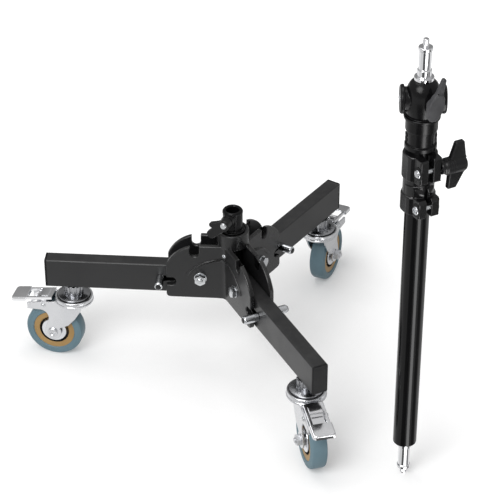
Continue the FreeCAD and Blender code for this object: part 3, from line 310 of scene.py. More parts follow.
@dataclass(frozen=True)
class Finish:
    """One surface finish. Colours are display values, lengths are metres."""

    name: str
    slot: Slot
    colour: Rgb    # the clean surface
    cloud_colour: Rgb    # what it drifts to in slow patches
    roughness: tuple[float, float]    # at the smoothest and the roughest place
    metallic: float = 0    # 1 for bare metal
    level: float = 0.5    # the strength of a coat's plain reflection
    grain: tuple[float, float] = (900, 0.00002)    # the pebble's scale and height
    lines: tuple[float, float, float] | None = None    # across which direction turned or drawn lines run
    line_depth: float = 0.00001
    dust: float = 0    # how much lies on upward faces
    edge_rub_and_highlight: float = 0    # how strongly edges show rub marks and a painted highlight, from 0 to 1
    edge_rub_and_highlight_colour: Rgb = (120, 120, 122)    # the colour of a rub-marked edge, lightened as a painted highlight

    def build(self, effects: EffectShop) -> bpy.types.Material:
        """Make the material's node tree.

        Args:
            effects: Where the shared groups come from.

        Returns:
            The finished material.
        """
        def effect(which: Effect, values: dict) -> bpy.types.Node:
            """Place a shared effect with this finish's values."""
            return graph.add("Group", values, node_tree=effects.get(which))

        material = bpy.data.materials.new(self.name)
        material.use_nodes = True
        graph = Graph(material.node_tree)
        shader = graph.tree.nodes["Principled BSDF"]
        scale, depth = self.grain
        grain = effect(Effect.GRAIN, {"Grain Scale": scale}).outputs
        colour = graph.blend(grain["Cloud"], linear(self.colour), linear(self.cloud_colour))
        rough = graph.between(grain["Cloud"], 0.0, 1.0, *self.roughness)
        # Edges turn lighter: rub marks, and a painted highlight along them.
        if self.edge_rub_and_highlight:
            rub_and_highlight_mask = graph.math("MULTIPLY", effect(Effect.RUB_AND_HIGHLIGHT, {}), self.edge_rub_and_highlight)
            colour = graph.blend(rub_and_highlight_mask, colour, linear(self.edge_rub_and_highlight_colour))
        if self.dust:
            colour = graph.blend(effect(Effect.DUST, {"Amount": self.dust}), colour, linear((172, 170, 166)))
        bump = graph.add("Bump", {"Height": grain["Height"], "Distance": depth})
        if self.lines:
            drawn = effect(Effect.LINES, {"Direction": self.lines}).outputs
            bump = graph.add("Bump", {"Height": drawn["Height"], "Distance": self.line_depth, "Normal": bump})
            rough = graph.math("ADD", rough, graph.math("MULTIPLY", drawn["Streak"], 0.06))
        for socket, value in (("Base Color", colour), ("Roughness", rough), ("Metallic", self.metallic),
                              ("Specular IOR Level", self.level), ("Normal", bump)):
            graph.feed(shader.inputs[socket], value)
        return material


# On the black finishes, the light edge colour is a painted highlight as much as rub marks.
LEG_PAINT = Finish("leg_satin_paint", Slot.LEG_PAINT, (26, 26, 27), (31, 31, 32), (0.32, 0.4),
    grain=(1500, 0.000012), dust=0.03, edge_rub_and_highlight=0.35, edge_rub_and_highlight_colour=(92, 92, 94))
CASTING = Finish("casting_enamel", Slot.CASTING, (20, 20, 21), (27, 27, 28), (0.26, 0.38),
    grain=(620, 0.00003), dust=0.03, edge_rub_and_highlight=0.6, edge_rub_and_highlight_colour=(150, 150, 152))
SOCKET_BLACK = Finish("socket_enamel", Slot.CASTING, (8, 8, 9), (12, 12, 13), (0.18, 0.26), level=0.17,
    grain=(1100, 0.00001), edge_rub_and_highlight=0.6, edge_rub_and_highlight_colour=(140, 140, 142))
# The lever's bright edges are mostly a painted highlight.
LEVER_BLACK = Finish("lever_enamel", Slot.CASTING, (11, 11, 12), (16, 16, 17), (0.22, 0.32), level=0.3,
    edge_rub_and_highlight=0.9, edge_rub_and_highlight_colour=(176, 176, 178))
TUBE_BLACK = Finish("column_gloss_paint", Slot.COLUMN, (10, 10, 11), (14, 14, 15), (0.1, 0.14), level=0.19,
    grain=(1400, 0.000002))
RISER_BLACK = Finish("riser_gloss_paint", Slot.COLUMN, (12, 12, 13), (17, 17, 18), (0.12, 0.17), level=0.22,
    grain=(1400, 0.000003), lines=(0, 0, 1), line_depth=0.000002)
CLAMP_BLACK = Finish("clamp_enamel", Slot.CASTING, (12, 12, 13), (18, 18, 19), (0.14, 0.2), level=0.42,
    edge_rub_and_highlight=0.45, edge_rub_and_highlight_colour=(104, 104, 106))
HEAD_BLACK = Finish("head_enamel", Slot.CASTING, (9, 9, 10), (14, 14, 15), (0.16, 0.24), level=0.21,
    grain=(900, 0.00001), edge_rub_and_highlight=0.4, edge_rub_and_highlight_colour=(110, 110, 112))
MOULDED = Finish("moulded_nylon", Slot.MOULDED, (20, 20, 21), (26, 26, 27), (0.32, 0.44), level=0.4,
    grain=(1200, 0.00003), edge_rub_and_highlight=0.25, edge_rub_and_highlight_colour=(78, 78, 80))
CAP_BLACK = Finish("matt_cap_nylon", Slot.MOULDED, (22, 22, 23), (28, 28, 29), (0.48, 0.58), level=0.14,
    grain=(1200, 0.00003), edge_rub_and_highlight=0.25, edge_rub_and_highlight_colour=(70, 70, 72))
# Black rubber; as the wheel's seam ring and the bearing's lip it also stands for painted shade.
RUBBER_AND_SHADE_BLACK = Finish("rubber_and_painted_shade", Slot.MOULDED, (11, 11, 12), (16, 16, 17), (0.5, 0.62), level=0.25,
    grain=(1300, 0.00002))
HANDLE_BLACK = Finish("handle_nylon", Slot.MOULDED, (16, 16, 17), (24, 24, 25), (0.28, 0.38), level=0.3,
    grain=(1400, 0.00005), edge_rub_and_highlight=0.3, edge_rub_and_highlight_colour=(92, 92, 94))
KNOB_GREY = Finish("wing_knob_coat", Slot.MOULDED, (42, 42, 44), (70, 70, 72), (0.4, 0.52), level=0.35,
    grain=(700, 0.00012), edge_rub_and_highlight=0.3, edge_rub_and_highlight_colour=(120, 120, 122))
CHROME = Finish("polished_chrome", Slot.STEEL, (226, 227, 229), (234, 234, 236), (0.04, 0.08), metallic=1,
    grain=(600, 0.000001))
STEEL = Finish("plated_fasteners", Slot.STEEL, (196, 198, 202), (212, 214, 216), (0.14, 0.24), metallic=1,
    grain=(800, 0.000005), edge_rub_and_highlight=0.3, edge_rub_and_highlight_colour=(232, 232, 232))
AXLE_STEEL = Finish("satin_axle_plate", Slot.STEEL, (206, 207, 210), (218, 219, 221), (0.3, 0.4),
    metallic=1, grain=(700, 0.000006), edge_rub_and_highlight=0.2, edge_rub_and_highlight_colour=(232, 232, 234))
NUT_STEEL = Finish("grooved_nut_plate", Slot.STEEL, (150, 151, 154), (176, 177, 180), (0.18, 0.3),
    metallic=1, grain=(800, 0.00001), edge_rub_and_highlight=0.5, edge_rub_and_highlight_colour=(226, 226, 228))
ZINC = Finish("bright_zinc_sheet", Slot.ZINC, (208, 209, 212), (220, 221, 223), (0.22, 0.3), metallic=1,
    grain=(320, 0.000004), edge_rub_and_highlight=0.25, edge_rub_and_highlight_colour=(244, 244, 244))
SPRING = Finish("spring_wire", Slot.SPRING, (120, 121, 124), (146, 147, 150), (0.24, 0.36), metallic=1)
GUARD = Finish("pressed_guard_disc", Slot.GUARD, (214, 216, 219), (226, 227, 230), (0.16, 0.24),
    metallic=1, grain=(500, 0.000004))
TYRE = Finish("tyre_rubber", Slot.TYRE, (92, 117, 127), (100, 124, 134), (0.44, 0.56), level=0.4,
    grain=(1000, 0.00003), dust=0.05, edge_rub_and_highlight=0.15, edge_rub_and_highlight_colour=(140, 156, 164))
CORE = Finish("core_nylon", Slot.CORE, (150, 118, 68), (164, 132, 82), (0.36, 0.5), level=0.45,
    grain=(700, 0.00002), edge_rub_and_highlight=0.2, edge_rub_and_highlight_colour=(196, 172, 132))
PEDAL = Finish("pedal_zinc_plate", Slot.PEDAL, (234, 235, 237), (243, 243, 245), (0.1, 0.16), metallic=1,
    grain=(420, 0.00001), dust=0.02, edge_rub_and_highlight=0.4, edge_rub_and_highlight_colour=(236, 236, 238))


def polar(radius: float, turn: float, height: float = 0.0) -> Vector:
    """Return the point at a radius, turn and height about Z."""
    return Vector((radius * math.cos(turn), radius * math.sin(turn), height))


class Shape:
    """Gathers the faces of one piece and turns them into a named object."""

    hexagon_steps = 48
    crown_share = 0.97    # the round crown's radius, as a share of half the size across flats
    crown_lean = math.tan(math.radians(28))    # how fast the corners fall away from it
    thread_depth = 0.55    # as a share of the pitch
    thread_levels = 6    # for each pitch
    weld = 0.000002
    sharp = math.radians(32)    # the turn above which an edge stays sharp

    def __init__(self, place: Matrix | None = None) -> None:
        """Start an empty shape.

        Args:
            place: Where the shape's own frame stands, with its Z along the turned axis.
        """
        self.place = place or Matrix.Identity(4)
        self.points: list[Vector] = []
        self.faces: list[tuple[int, ...]] = []

    def grid(self, rows: Sequence[Sequence[Vector]], wrap: bool = True) -> None:
        """Add a grid of faces between rows of points.

        Args:
            rows: Rows of the same length.
            wrap: Whether the last point of a row joins the first.
        """
        start, count = len(self.points), len(rows[0])
        for row in rows:
            self.points += [self.place @ point for point in row]
        for i in range(len(rows) - 1):
            for j in range(count if wrap else count - 1):
                a, b = start + i * count + j, start + i * count + (j + 1) % count
                self.faces.append((a, b, b + count, a + count))

    def lathe(self, profile: Profile, steps: int = 72) -> None:
        """Turn a profile about the Z axis.

        Args:
            profile: Points of (radius, height).
            steps: How many steps go round.
        """
        self.grid([[polar(r, FULL_TURN * k / steps, h) for k in range(steps)] for r, h in profile])

    def thread(self, radius: float, length: float, pitch: float = THREAD_PITCH, start: float = 0.0,
               steps: int = 36) -> None:
        """Add a threaded rod end with a chamfered tip.

        Args:
            radius: The crest's radius.
            length: The rod's length.
            pitch: From crest to crest.
            start: The rod's foot along Z.
            steps: How many steps go round.
        """
        depth, levels = pitch * self.thread_depth, max(8, round(length / pitch * self.thread_levels))
        rows = []
        for z in (length * i / levels for i in range(levels + 1)):
            fade = min(1.0, (length - z) / pitch)
            radii = [radius - depth * abs(2 * ((z / pitch - k / steps) % 1.0) - 1) - (1 - fade) * depth
                     for k in range(steps)]
            rows.append([polar(r, FULL_TURN * k / steps, start + z) for k, r in enumerate(radii)])
        self.grid([*rows, [Vector((0, 0, start + length))] * steps])

    def hexagon(self, flats: float, height: float, bore: float, start: float) -> None:
        """Add a hexagon nut or bolt head with its corners turned down.

        Args:
            flats: The size across flats.
            height: The nut's height.
            bore: The radius of its hole, or 0 for a bolt head.
            start: Its foot along Z.
        """
        turns = [FULL_TURN * k / self.hexagon_steps for k in range(self.hexagon_steps)]
        corners = [flats / 2 / math.cos(turn % (FULL_TURN / 6) - FULL_TURN / 12) for turn in turns]
        crown = flats / 2 * self.crown_share

        def ring(level: float, lean: float = 0.0) -> list[Vector]:
            """Return the hexagon with leaning corners, or without a lean the round crown."""
            return [polar(corner if lean else min(corner, crown), turn, level + lean * (corner - crown))
                    for turn, corner in zip(turns, corners)]

        end = start + height
        foot, top = ([polar(bore or TINY, turn, level) for turn in turns] for level in (start, end))
        rows = [foot, ring(start), ring(start, self.crown_lean), ring(end, -self.crown_lean), ring(end), top]
        self.grid([*rows, foot] if bore else rows)

    def wire(self, path: Sequence[Vector], radius: float, sides: int) -> None:
        """Sweep a round wire along a path, with closed ends.

        Args:
            path: The wire's middle line.
            radius: The wire's radius.
            sides: How many sides its section has.
        """
        rows, last = [], len(path) - 1
        turns = [FULL_TURN * k / sides for k in range(sides)]
        for i, point in enumerate(path):
            ahead = (path[min(i + 1, last)] - path[max(i - 1, 0)]).normalized()
            side = ahead.cross(Z_AXIS if abs(ahead.z) < 0.9 else X_AXIS).normalized()
            up = side.cross(ahead)
            rows.append([point + (side * math.cos(turn) + up * math.sin(turn)) * radius for turn in turns])
        self.grid([[path[0]] * sides, *rows, [path[-1]] * sides])

    def block(self, low: Sequence[float], high: Sequence[float]) -> None:
        """Add a closed block between two corners.

        Args:
            low: The lowest corner.
            high: The highest corner.
        """
        start = len(self.points)
        ring = ((low[0], low[1]), (high[0], low[1]), (high[0], high[1]), (low[0], high[1]))
        self.points += [self.place @ Vector((x, y, z)) for z in (low[2], high[2]) for x, y in ring]
        for face in ((3, 2, 1, 0), (4, 5, 6, 7), (0, 1, 5, 4), (1, 2, 6, 5), (2, 3, 7, 6), (3, 0, 4, 7)):
            self.faces.append(tuple(start + k for k in face))

    def make(self, name: str, round_edges: float = 0.0) -> bpy.types.Object:
        """Clean the faces and make the object.

        Args:
            name: The piece's name.
            round_edges: The width of a bevel on sharp edges.

        Returns:
            The new object.
        """
        mesh = bpy.data.meshes.new(name)
        mesh.from_pydata([tuple(p) for p in self.points], [], self.faces)
        work = bmesh.new()
        work.from_mesh(mesh)
        bmesh.ops.remove_doubles(work, verts=work.verts, dist=self.weld)
        bmesh.ops.dissolve_degenerate(work, edges=work.edges, dist=self.weld)
        bmesh.ops.recalc_face_normals(work, faces=work.faces)
        if round_edges:
            edges = [e for e in work.edges if len(e.link_faces) == 2 and e.calc_face_angle(0) > self.sharp]
            bmesh.ops.bevel(work, geom=edges, offset=round_edges, segments=2, profile=0.5, affect="EDGES",
                            clamp_overlap=True)
        work.to_mesh(mesh)
        work.free()
        mesh.shade_smooth()
        mesh.set_sharp_from_angle(angle=self.sharp)
        piece = bpy.data.objects.new(name, mesh)
        bpy.context.scene.collection.objects.link(piece)
        return piece


def facing(origin: Vector, axis: Vector) -> Matrix:
    """Return a frame whose Z points along an axis and whose X leans upward.

    Args:
        origin: The frame's origin.
        axis: The direction of its Z.

    Returns:
        The frame as a matrix.
    """
    z = axis.normalized()
    guide = Z_AXIS if abs(z.z) < 0.99 else X_AXIS
    x = (guide - z * guide.dot(z)).normalized()
    return Matrix.Translation(origin) @ Matrix((x, z.cross(x), z)).transposed().to_4x4()


def joint(name: str, key: str) -> Vector:
    """Return a joint's point at rest, with the key pos_m, or its direction, with the key axis."""
    return Vector(next(j for j in frame["joints"] if j["name"] == name)[key])


class Workshop:
    """Dresses the frame's own nodes and places new pieces on its bodies."""

    crease = math.radians(28)    # the turn from which shading breaks
    flatness = math.radians(0.4)
    bevel_angle = math.radians(34)    # the turn from which an edge is softened
    boss_reach = 0.031    # how far from the hub's axis the castings' edges lie close together
    boss_share = 0.27    # how wide those edges are softened, next to the others

    def __init__(self) -> None:
        """Prepare the shared groups."""
        self.effects = EffectShop()
        self.cleaner = self.face_cleaner()

    def face_cleaner(self) -> bpy.types.NodeTree:
        """Build the group that joins a node's split faces and marks its real edges.

        Returns:
            A geometry node group.
        """
        tree = bpy.data.node_groups.new("join_split_faces", "GeometryNodeTree")
        for way in ("INPUT", "OUTPUT"):
            tree.interface.new_socket("Geometry", in_out=way, socket_type="NodeSocketGeometry")
        graph = Graph(tree)
        given, made = graph.add("NodeGroupInput"), graph.add("NodeGroupOutput")
        bare = graph.add("GeometryNodeRemoveAttribute", {"Geometry": given, "Name": "custom_normal"})
        whole = graph.add("GeometryNodeMergeByDistance", {"Geometry": bare, "Distance": TINY})
        soft = graph.add("GeometryNodeSetShadeSmooth", {"Geometry": whole}, domain="FACE")
        plain = graph.add("GeometryNodeSetShadeSmooth", {"Geometry": soft}, domain="EDGE")
        angle = graph.add("GeometryNodeInputMeshEdgeAngle").outputs
        steep = graph.add("FunctionNodeCompare", {0: angle["Unsigned Angle"], 1: self.crease},
                          operation="GREATER_THAN")
        marked = graph.add("GeometryNodeSetShadeSmooth", {"Geometry": plain, "Selection": steep,
                                                          "Shade Smooth": False}, domain="EDGE")
        place = graph.add("SeparateXYZ", {0: graph.add("GeometryNodeInputPosition")}).outputs
        squares = [graph.math("MULTIPLY", place[way], place[way]) for way in "XY"]
        reach = graph.math("SQRT", graph.math("ADD", *squares))
        weight = graph.math("MAXIMUM", graph.math("GREATER_THAN", reach, self.boss_reach), self.boss_share)
        outer = graph.math("GREATER_THAN", angle["Signed Angle"], self.bevel_angle)
        weighed = {"Geometry": marked, "Name": "bevel_weight_edge",
                   "Value": graph.math("MULTIPLY", weight, outer)}
        graph.feed(made.inputs[0], graph.add("GeometryNodeStoreNamedAttribute", weighed, data_type="FLOAT",
                                             domain="EDGE"))
        return tree

    @cache
    def material(self, finish: Finish) -> bpy.types.Material:
        """Return a finish's material, built on first use."""
        return finish.build(self.effects)

    def dress(self, *rows: tuple[str, Finish, float], limit: str = "ANGLE") -> None:
        """Give frame nodes their finish and soften their edges.

        Args:
            rows: Each node's name, its finish, and the width of its softened edges or 0.
            limit: ANGLE softens all edges alike, WEIGHT only the outer ones, and less round the hub's boss.
        """
        for node, finish, edge in rows:
            piece = frame["nodes"][node]
            for slot in piece.material_slots:
                slot.material = self.material(finish)
            piece.modifiers.new("join_split_faces", "NODES").node_group = self.cleaner
            if edge:
                flat = piece.modifiers.new("flat_faces", "DECIMATE")
                flat.decimate_type, flat.angle_limit = "DISSOLVE", self.flatness
                soft = piece.modifiers.new("soft_edges", "BEVEL")
                soft.width, soft.segments, soft.limit_method = edge, 2, limit
                soft.angle_limit, soft.use_clamp_overlap = self.bevel_angle, False
                soft.miter_outer = "MITER_ARC"
                piece.modifiers.new("even_shading", "WEIGHTED_NORMAL").keep_sharp = True
            log.info("dressed %s with %s", node, finish.name)

    def place(self, piece: bpy.types.Object, body: str, finish: Finish, *stands_for: str) -> None:
        """Put a new piece on a body with its finish.

        Args:
            piece: The piece, already in place.
            body: The body that it rides on.
            finish: Its finish.
            stands_for: The frame nodes that it replaces.
        """
        piece.data.materials.append(self.material(finish))
        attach(piece, body)
        if stands_for:
            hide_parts(*stands_for)
        log.info("placed %s on %s", piece.name, body)


@dataclass
class Hub:
    """The three castings between the legs, their pivots and the socket."""

    shop: Workshop
    bolt_radius: float = 0.004
    bolt_flats: float = 0.013
    head_height: float = 0.0053
    nut_height: float = 0.0065
    washer: float = 0.0015
    cheek_outer: float = 0.0163
    thread_end: float = 0.002
    rim: Profile = ((0.01252, 0.0046), (0.0129, 0.0042), (0.0129, 0.0026), (0.01252, 0.0022))

    def build(self) -> None:
        """Dress the castings and build the fasteners."""
        self.shop.dress(*((f"bracket_{number}", CASTING, 0.0011) for number in LEGS), limit="WEIGHT")
        self.shop.dress(("socket_tube", SOCKET_BLACK, 0.0004), ("bracket_screws", STEEL, 0.0002),
                        ("pivot_washers", STEEL, 0.0002), ("socket_lever", LEVER_BLACK, 0.0008),
                        ("socket_lever_screw", STEEL, 0.0003))
        self.pivots()
        self.socket_rim()

    def pivots(self) -> None:
        """Build the fold pivots' nuts and bolts with turned corners and threads."""
        nuts, bolts = Shape(), Shape()
        seat, r = self.cheek_outer + self.washer, self.bolt_radius
        for number in LEGS:
            centre, across = (joint(f"leg_fold_{number}", key) for key in ("pos_m", "axis"))
            nuts.place = bolts.place = facing(centre, -across)
            nuts.hexagon(self.bolt_flats, self.nut_height, r + THREAD_FIT, seat)
            bolts.thread(r, self.nut_height + self.thread_end, start=seat)
            bolts.lathe([(TINY, -seat), (r, -seat), (r, seat), (TINY, seat)], 36)
            bolts.place = facing(centre, across)
            bolts.hexagon(self.bolt_flats, self.head_height, 0.0, seat)
        self.shop.place(nuts.make("pivot_nuts_turned"), "hub", STEEL, "pivot_nuts")
        self.shop.place(bolts.make("pivot_bolts_threaded"), "hub", STEEL, "pivot_bolts")

    def socket_rim(self) -> None:
        """Turn the fine bead round the socket's mouth."""
        bead = Shape(Matrix.Translation((0, 0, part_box("socket_tube")[1].z)))
        bead.lathe([(r, -h) for r, h in self.rim])
        self.shop.place(bead.make("socket_mouth_ring"), "hub", SOCKET_BLACK)


@dataclass
class Leg:
    """One folding leg with its lock pin and spring."""

    shop: Workshop
    number: int
    turns: float = 7.0
    turn_steps: int = 22
    crowding: float = 0.25    # how much the end coils crowd together
    coil_radius: float = 0.0043
    wire_radius: float = 0.0007
    wire_sides: int = 8
    stop: tuple[float, float, float] = (0.0064, 0.0083, 0.006)    # half height, half width and length
    stop_gap: float = 0.0003
    stop_edge: float = 0.0005
    pin_half: float = 0.0305
    button: Profile = ((0.0036, -0.0008), (0.0036, 0.0003), (0.0031, 0.0006), (TINY, 0.0008))

    def build(self) -> None:
        """Dress the tube, cap and pin, and wind the spring."""
        n = self.number
        self.shop.dress((f"leg_tube_{n}", LEG_PAINT, 0.0004), (f"leg_cap_{n}", CAP_BLACK, 0.0006),
                        (f"lock_pin_{n}", STEEL, 0.0003))
        self.spring()
        self.pin_ends()

    def spring(self) -> None:
        """Wind the lock pin's spring as a real coil, with its stop block."""
        node, body = f"lock_spring_{self.number}", f"leg_{self.number}"
        low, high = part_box(node)
        out = -joint(f"lock_pin_slide_{self.number}", "axis")
        out = Vector((out.x, out.y, 0)).normalized()
        base = facing(Vector((0, 0, ((low + high) / 2).z)), out)
        along = [v.co.dot(out) for v in frame["nodes"][node].data.vertices]
        start, end = min(along), max(along)
        tall, wide, deep = self.stop
        room = end - deep - self.stop_gap - start - 2 * self.wire_radius
        path = []
        total = int(self.turns * self.turn_steps)
        for share in (k / total for k in range(total + 1)):
            eased = 0.5 - 0.5 * math.cos(math.pi * share)
            level = (self.crowding * eased + (1 - self.crowding) * share) * room + self.wire_radius
            path.append(polar(self.coil_radius, share * self.turns * FULL_TURN, start + level))
        coil, block = Shape(base), Shape(base)
        coil.wire(path, self.wire_radius, self.wire_sides)
        self.shop.place(coil.make(f"lock_spring_coil_{self.number}"), body, SPRING, node)
        block.block((-tall, -wide, end - deep), (tall, wide, end))
        self.shop.place(block.make(f"lock_spring_stop_{self.number}", self.stop_edge), body, MOULDED, node)

    def pin_ends(self) -> None:
        """Set a dark moulded button into each end of the lock pin."""
        pin = f"lock_pin_{self.number}"
        low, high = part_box(pin)
        across = joint(f"leg_fold_{self.number}", "axis")
        buttons = Shape()
        for way in (-1, 1):
            buttons.place = facing((low + high) / 2, across * way)
            buttons.lathe([(r, self.pin_half + h) for r, h in self.button], 40)
        self.shop.place(buttons.make(f"lock_pin_buttons_{self.number}"), pin, MOULDED)


@dataclass
class Caster:
    """One swivel caster with its wheel, guards, axle and brake pedal."""

    shop: Workshop
    number: int
    fork_outer: float = 0.0145
    fork_inner: float = 0.012
    axle_radius: float = 0.004
    bush_radius: float = 0.006
    nut_flats: float = 0.013
    nut_height: float = 0.006
    thread_end: float = 0.002
    head: Profile = ((0.0065, 0.0), (0.0065, 0.0011), (0.0061, 0.0021), (0.0052, 0.0028), (0.0043, 0.0029),
                     (0.0035, 0.0024), (0.003, 0.0014), (0.0022, 0.0011), (0.0012, 0.0015), (TINY, 0.0016))
    rivet_ring: Profile = ((0.0026, 0.0), (0.0035, 0.0), (0.0035, 0.0003), (0.0026, 0.0006))
    rivet_dome: Profile = ((0.0026, 0.001), (0.0026, 0.0012), (0.002, 0.0017), (0.0009, 0.0019),
                           (0.0007, 0.0015), (TINY, 0.0014))
    # the dark ring laid in the seam between tyre and core, as painted shade
    seam: Profile = ((0.01665, 0.0056), (0.0189, 0.0056), (0.0189, 0.0086), (0.0196, 0.0089))
    bead_radii: tuple[float, float] = (0.0283, 0.0337)
    bead: Profile = ((-0.0004, 0.00995), (-0.0002, 0.01022), (0.0002, 0.01022), (0.0004, 0.00995))
    lip: Profile = ((0.0205, -0.0002), (0.0219, -0.0002), (0.0219, 0.0002), (0.021, 0.0007), (0.0205, 0.0007))
    lip_level: float = 0.0923

    def build(self) -> None:
        """Dress every piece of the caster and add its fasteners."""
        n = self.number
        self.shop.dress(*((f"caster_{piece}_{n}", finish, edge) for piece, finish, edge in (
            ("stem", NUT_STEEL, 0.0003), ("nut", NUT_STEEL, 0.0003), ("fork", ZINC, 0.0006),
            ("tyre", TYRE, 0.0), ("core", CORE, 0.0002), ("guards", GUARD, 0.0003), ("pedal", PEDAL, 0.0))))
        self.axle()
        self.side_rings()
        self.seal_and_shade()

    def axle(self) -> None:
        """Build the axle bolt with its rolled head, its threaded end, the nut and the bush."""
        centre, along = joint(f"wheel_roll_{self.number}", "pos_m"), self.head_side()
        bolt, nut, bush = (Shape(facing(centre, along * way)) for way in (1, -1, 1))
        out, edge, r = self.fork_outer, self.fork_inner, self.axle_radius
        hole = r + THREAD_FIT
        bolt.lathe([(TINY, -out), (r, -out), (r, out), *((x, out + h) for x, h in self.head)], 56)
        bolt.place = nut.place
        bolt.thread(r, self.nut_height + self.thread_end, start=out)
        nut.hexagon(self.nut_flats, self.nut_height, hole, out)
        bush.lathe([(hole, -edge), (self.bush_radius, -edge), (self.bush_radius, edge), (hole, edge),
                    (hole, -edge)])
        for shape, piece in ((bolt, "bolt_rolled"), (nut, "nut_turned"), (bush, "bush_turned")):
            self.shop.place(shape.make(f"axle_{piece}_{self.number}"), f"swivel_{self.number}", AXLE_STEEL,
                            f"caster_axle_{self.number}")

    def head_side(self) -> Vector:
        """Return the direction along the axle toward the bolt's head."""
        trail = joint(f"wheel_roll_{self.number}", "pos_m") - joint(f"caster_swivel_{self.number}", "pos_m")
        return Z_AXIS.cross(Vector((trail.x, trail.y, 0))).normalized()

    def side_rings(self) -> None:
        """Build the pedal's rivets, a dark ring of painted shade in the wheel's seam and the tyre's beads on
        both sides.
        """
        n = self.number
        rivets, seam_shade_ring, beads = Shape(), Shape(), Shape()
        for way in (-1, 1):
            along = self.head_side() * way
            rivets.place = facing(joint(f"brake_pedal_{n}", "pos_m"), along)
            seam_shade_ring.place = beads.place = facing(joint(f"wheel_roll_{n}", "pos_m"), along)
            for profile in (self.rivet_ring, self.rivet_dome):
                rivets.lathe([(r, self.fork_outer + h) for r, h in profile], 40)
            seam_shade_ring.lathe(self.seam)
            for radius in self.bead_radii:
                beads.lathe([(radius + r, h) for r, h in self.bead], 96)
        self.shop.place(rivets.make(f"pedal_rivets_{n}"), f"swivel_{n}", STEEL)
        # The seam ring is a dark piece put in the groove: painted shade.
        self.shop.place(seam_shade_ring.make(f"wheel_seam_shade_{n}"), f"wheel_{n}", RUBBER_AND_SHADE_BLACK)
        self.shop.place(beads.make(f"tyre_beads_{n}"), f"wheel_{n}", TYRE)

    def seal_and_shade(self) -> None:
        """Lay the dark sealing lip under the bearing's cover, which is also painted shade round the bearing.
        """
        top = joint(f"caster_swivel_{self.number}", "pos_m")
        # The lip is partly a sealing lip and partly painted shade in the gap round the race.
        lip = Shape(Matrix.Translation((top.x, top.y, self.lip_level)))
        lip.lathe(self.lip)
        self.shop.place(lip.make(f"bearing_seal_and_shade_{self.number}"), f"leg_{self.number}", RUBBER_AND_SHADE_BLACK)


@dataclass
class Column:
    """The lift-out column with its clamp, handle, riser and head."""

    shop: Workshop
    stud_radius: float = 0.003525
    stud_length: float = 0.0089
    stud_tip: float = 0.0006    # how far the thread stays behind the stud's end
    stud_pitch: float = 0.00127
    screw: Profile = ((0.0044, 0.0), (0.0044, 0.0004), (0.0038, 0.0009), (0.0021, 0.0009), (0.0019, 0.0002),
                      (TINY, 0.0002))
    rib: Profile = ((0.0094, -0.0007), (0.0099, -0.0003), (0.0099, 0.0003), (0.0094, 0.0007))
    rib_start: float = 0.0072
    rib_step: float = 0.0026
    rib_count: int = 4
    ring: Profile = ((0.0053, 0.0), (0.008, 0.0), (0.008, 0.0005), (0.0053, 0.0009))
    ring_rim: float = 0.0017    # how deep the bolt head's rim is looked for
    ring_depth: float = 0.0032    # how far the ring lies below the bolt head's face

    def build(self) -> None:
        """Dress every piece of the column and add its small parts."""
        self.shop.dress(("outer_tube", TUBE_BLACK, 0.0003), ("riser_tube", RISER_BLACK, 0.0002),
                        ("riser_plug", MOULDED, 0.0002), ("bottom_spigot", CHROME, 0.0003),
                        ("top_spigot", CHROME, 0.0003), ("clamp_body", CLAMP_BLACK, 0.0006),
                        ("clamp_screws", STEEL, 0.0003), ("clamp_handle", HANDLE_BLACK, 0.0012),
                        ("handle_insert", STEEL, 0.0002), ("head_collar", HEAD_BLACK, 0.0004),
                        ("head_housing", HEAD_BLACK, 0.0006), ("head_discs", HEAD_BLACK, 0.0005),
                        ("wing_knob", KNOB_GREY, 0.0012))
        self.studs()
        self.disc_screws()
        self.handle_ribs()
        self.bolt_rings()

    def studs(self) -> None:
        """Cut the threads on the two spigots' tips."""
        for node, body, way in (("bottom_spigot", "column", -1), ("top_spigot", "head", 1)):
            low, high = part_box(node)
            foot = (low + high) / 2
            foot.z = (high.z if way > 0 else low.z) - way * self.stud_length
            stud = Shape(facing(foot, Z_AXIS * way))
            stud.thread(self.stud_radius, self.stud_length - self.stud_tip, self.stud_pitch)
            self.shop.place(stud.make(f"{node}_thread"), body, CHROME)

    def disc_screws(self) -> None:
        """Sink a bright screw with a hexagon socket into each side disc of the head."""
        low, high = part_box("head_discs")
        reach = (high.x - low.x) / 2
        screws = Shape()
        for way in (-1, 1):
            screws.place = facing((low + high) / 2, X_AXIS * way)
            screws.lathe([(r, reach + h) for r, h in self.screw], 48)
        self.shop.place(screws.make("head_disc_screws"), "head", STEEL)

    def handle_ribs(self) -> None:
        """Ring the neck of the handle with the ribs that a thumb finds."""
        centre, along = (joint("clamp_handle_turn", key) for key in ("pos_m", "axis"))
        node = frame["nodes"]["clamp_handle"]
        levels = [(node.matrix_world @ v.co - centre).dot(along) for v in node.data.vertices]
        way = 1 if max(levels) > -min(levels) else -1
        start = min(level * way for level in levels) + self.rib_start
        ribs = Shape(facing(centre, along * way))
        for k in range(self.rib_count):
            ribs.lathe([(r, start + self.rib_step * k + h) for r, h in self.rib])
        self.shop.place(ribs.make("clamp_handle_ribs"), "clamp_handle", HANDLE_BLACK)

    def bolt_rings(self) -> None:
        """Ring the clamp's bolt heads with dark washers."""
        along = joint("clamp_handle_turn", "axis")
        node = frame["nodes"]["clamp_screws"]
        rings = Shape()
        points = [node.matrix_world @ v.co for v in node.data.vertices]
        middle = (min(p.z for p in points) + max(p.z for p in points)) / 2
        for group in ([p for p in points if p.z > middle], [p for p in points if p.z < middle]):
            out = along * (-1 if max(p.dot(along) for p in group) > 0 else 1)
            face = max(p.dot(out) for p in group)
            rim = [p for p in group if p.dot(out) > face - self.ring_rim]
            centre = sum(rim, Vector()) / len(rim)
            centre -= out * (centre.dot(out) - (face - self.ring_depth))
            rings.place = facing(centre, out)
            rings.lathe(self.ring)
        self.shop.place(rings.make("clamp_bolt_washers"), "column", RUBBER_AND_SHADE_BLACK)


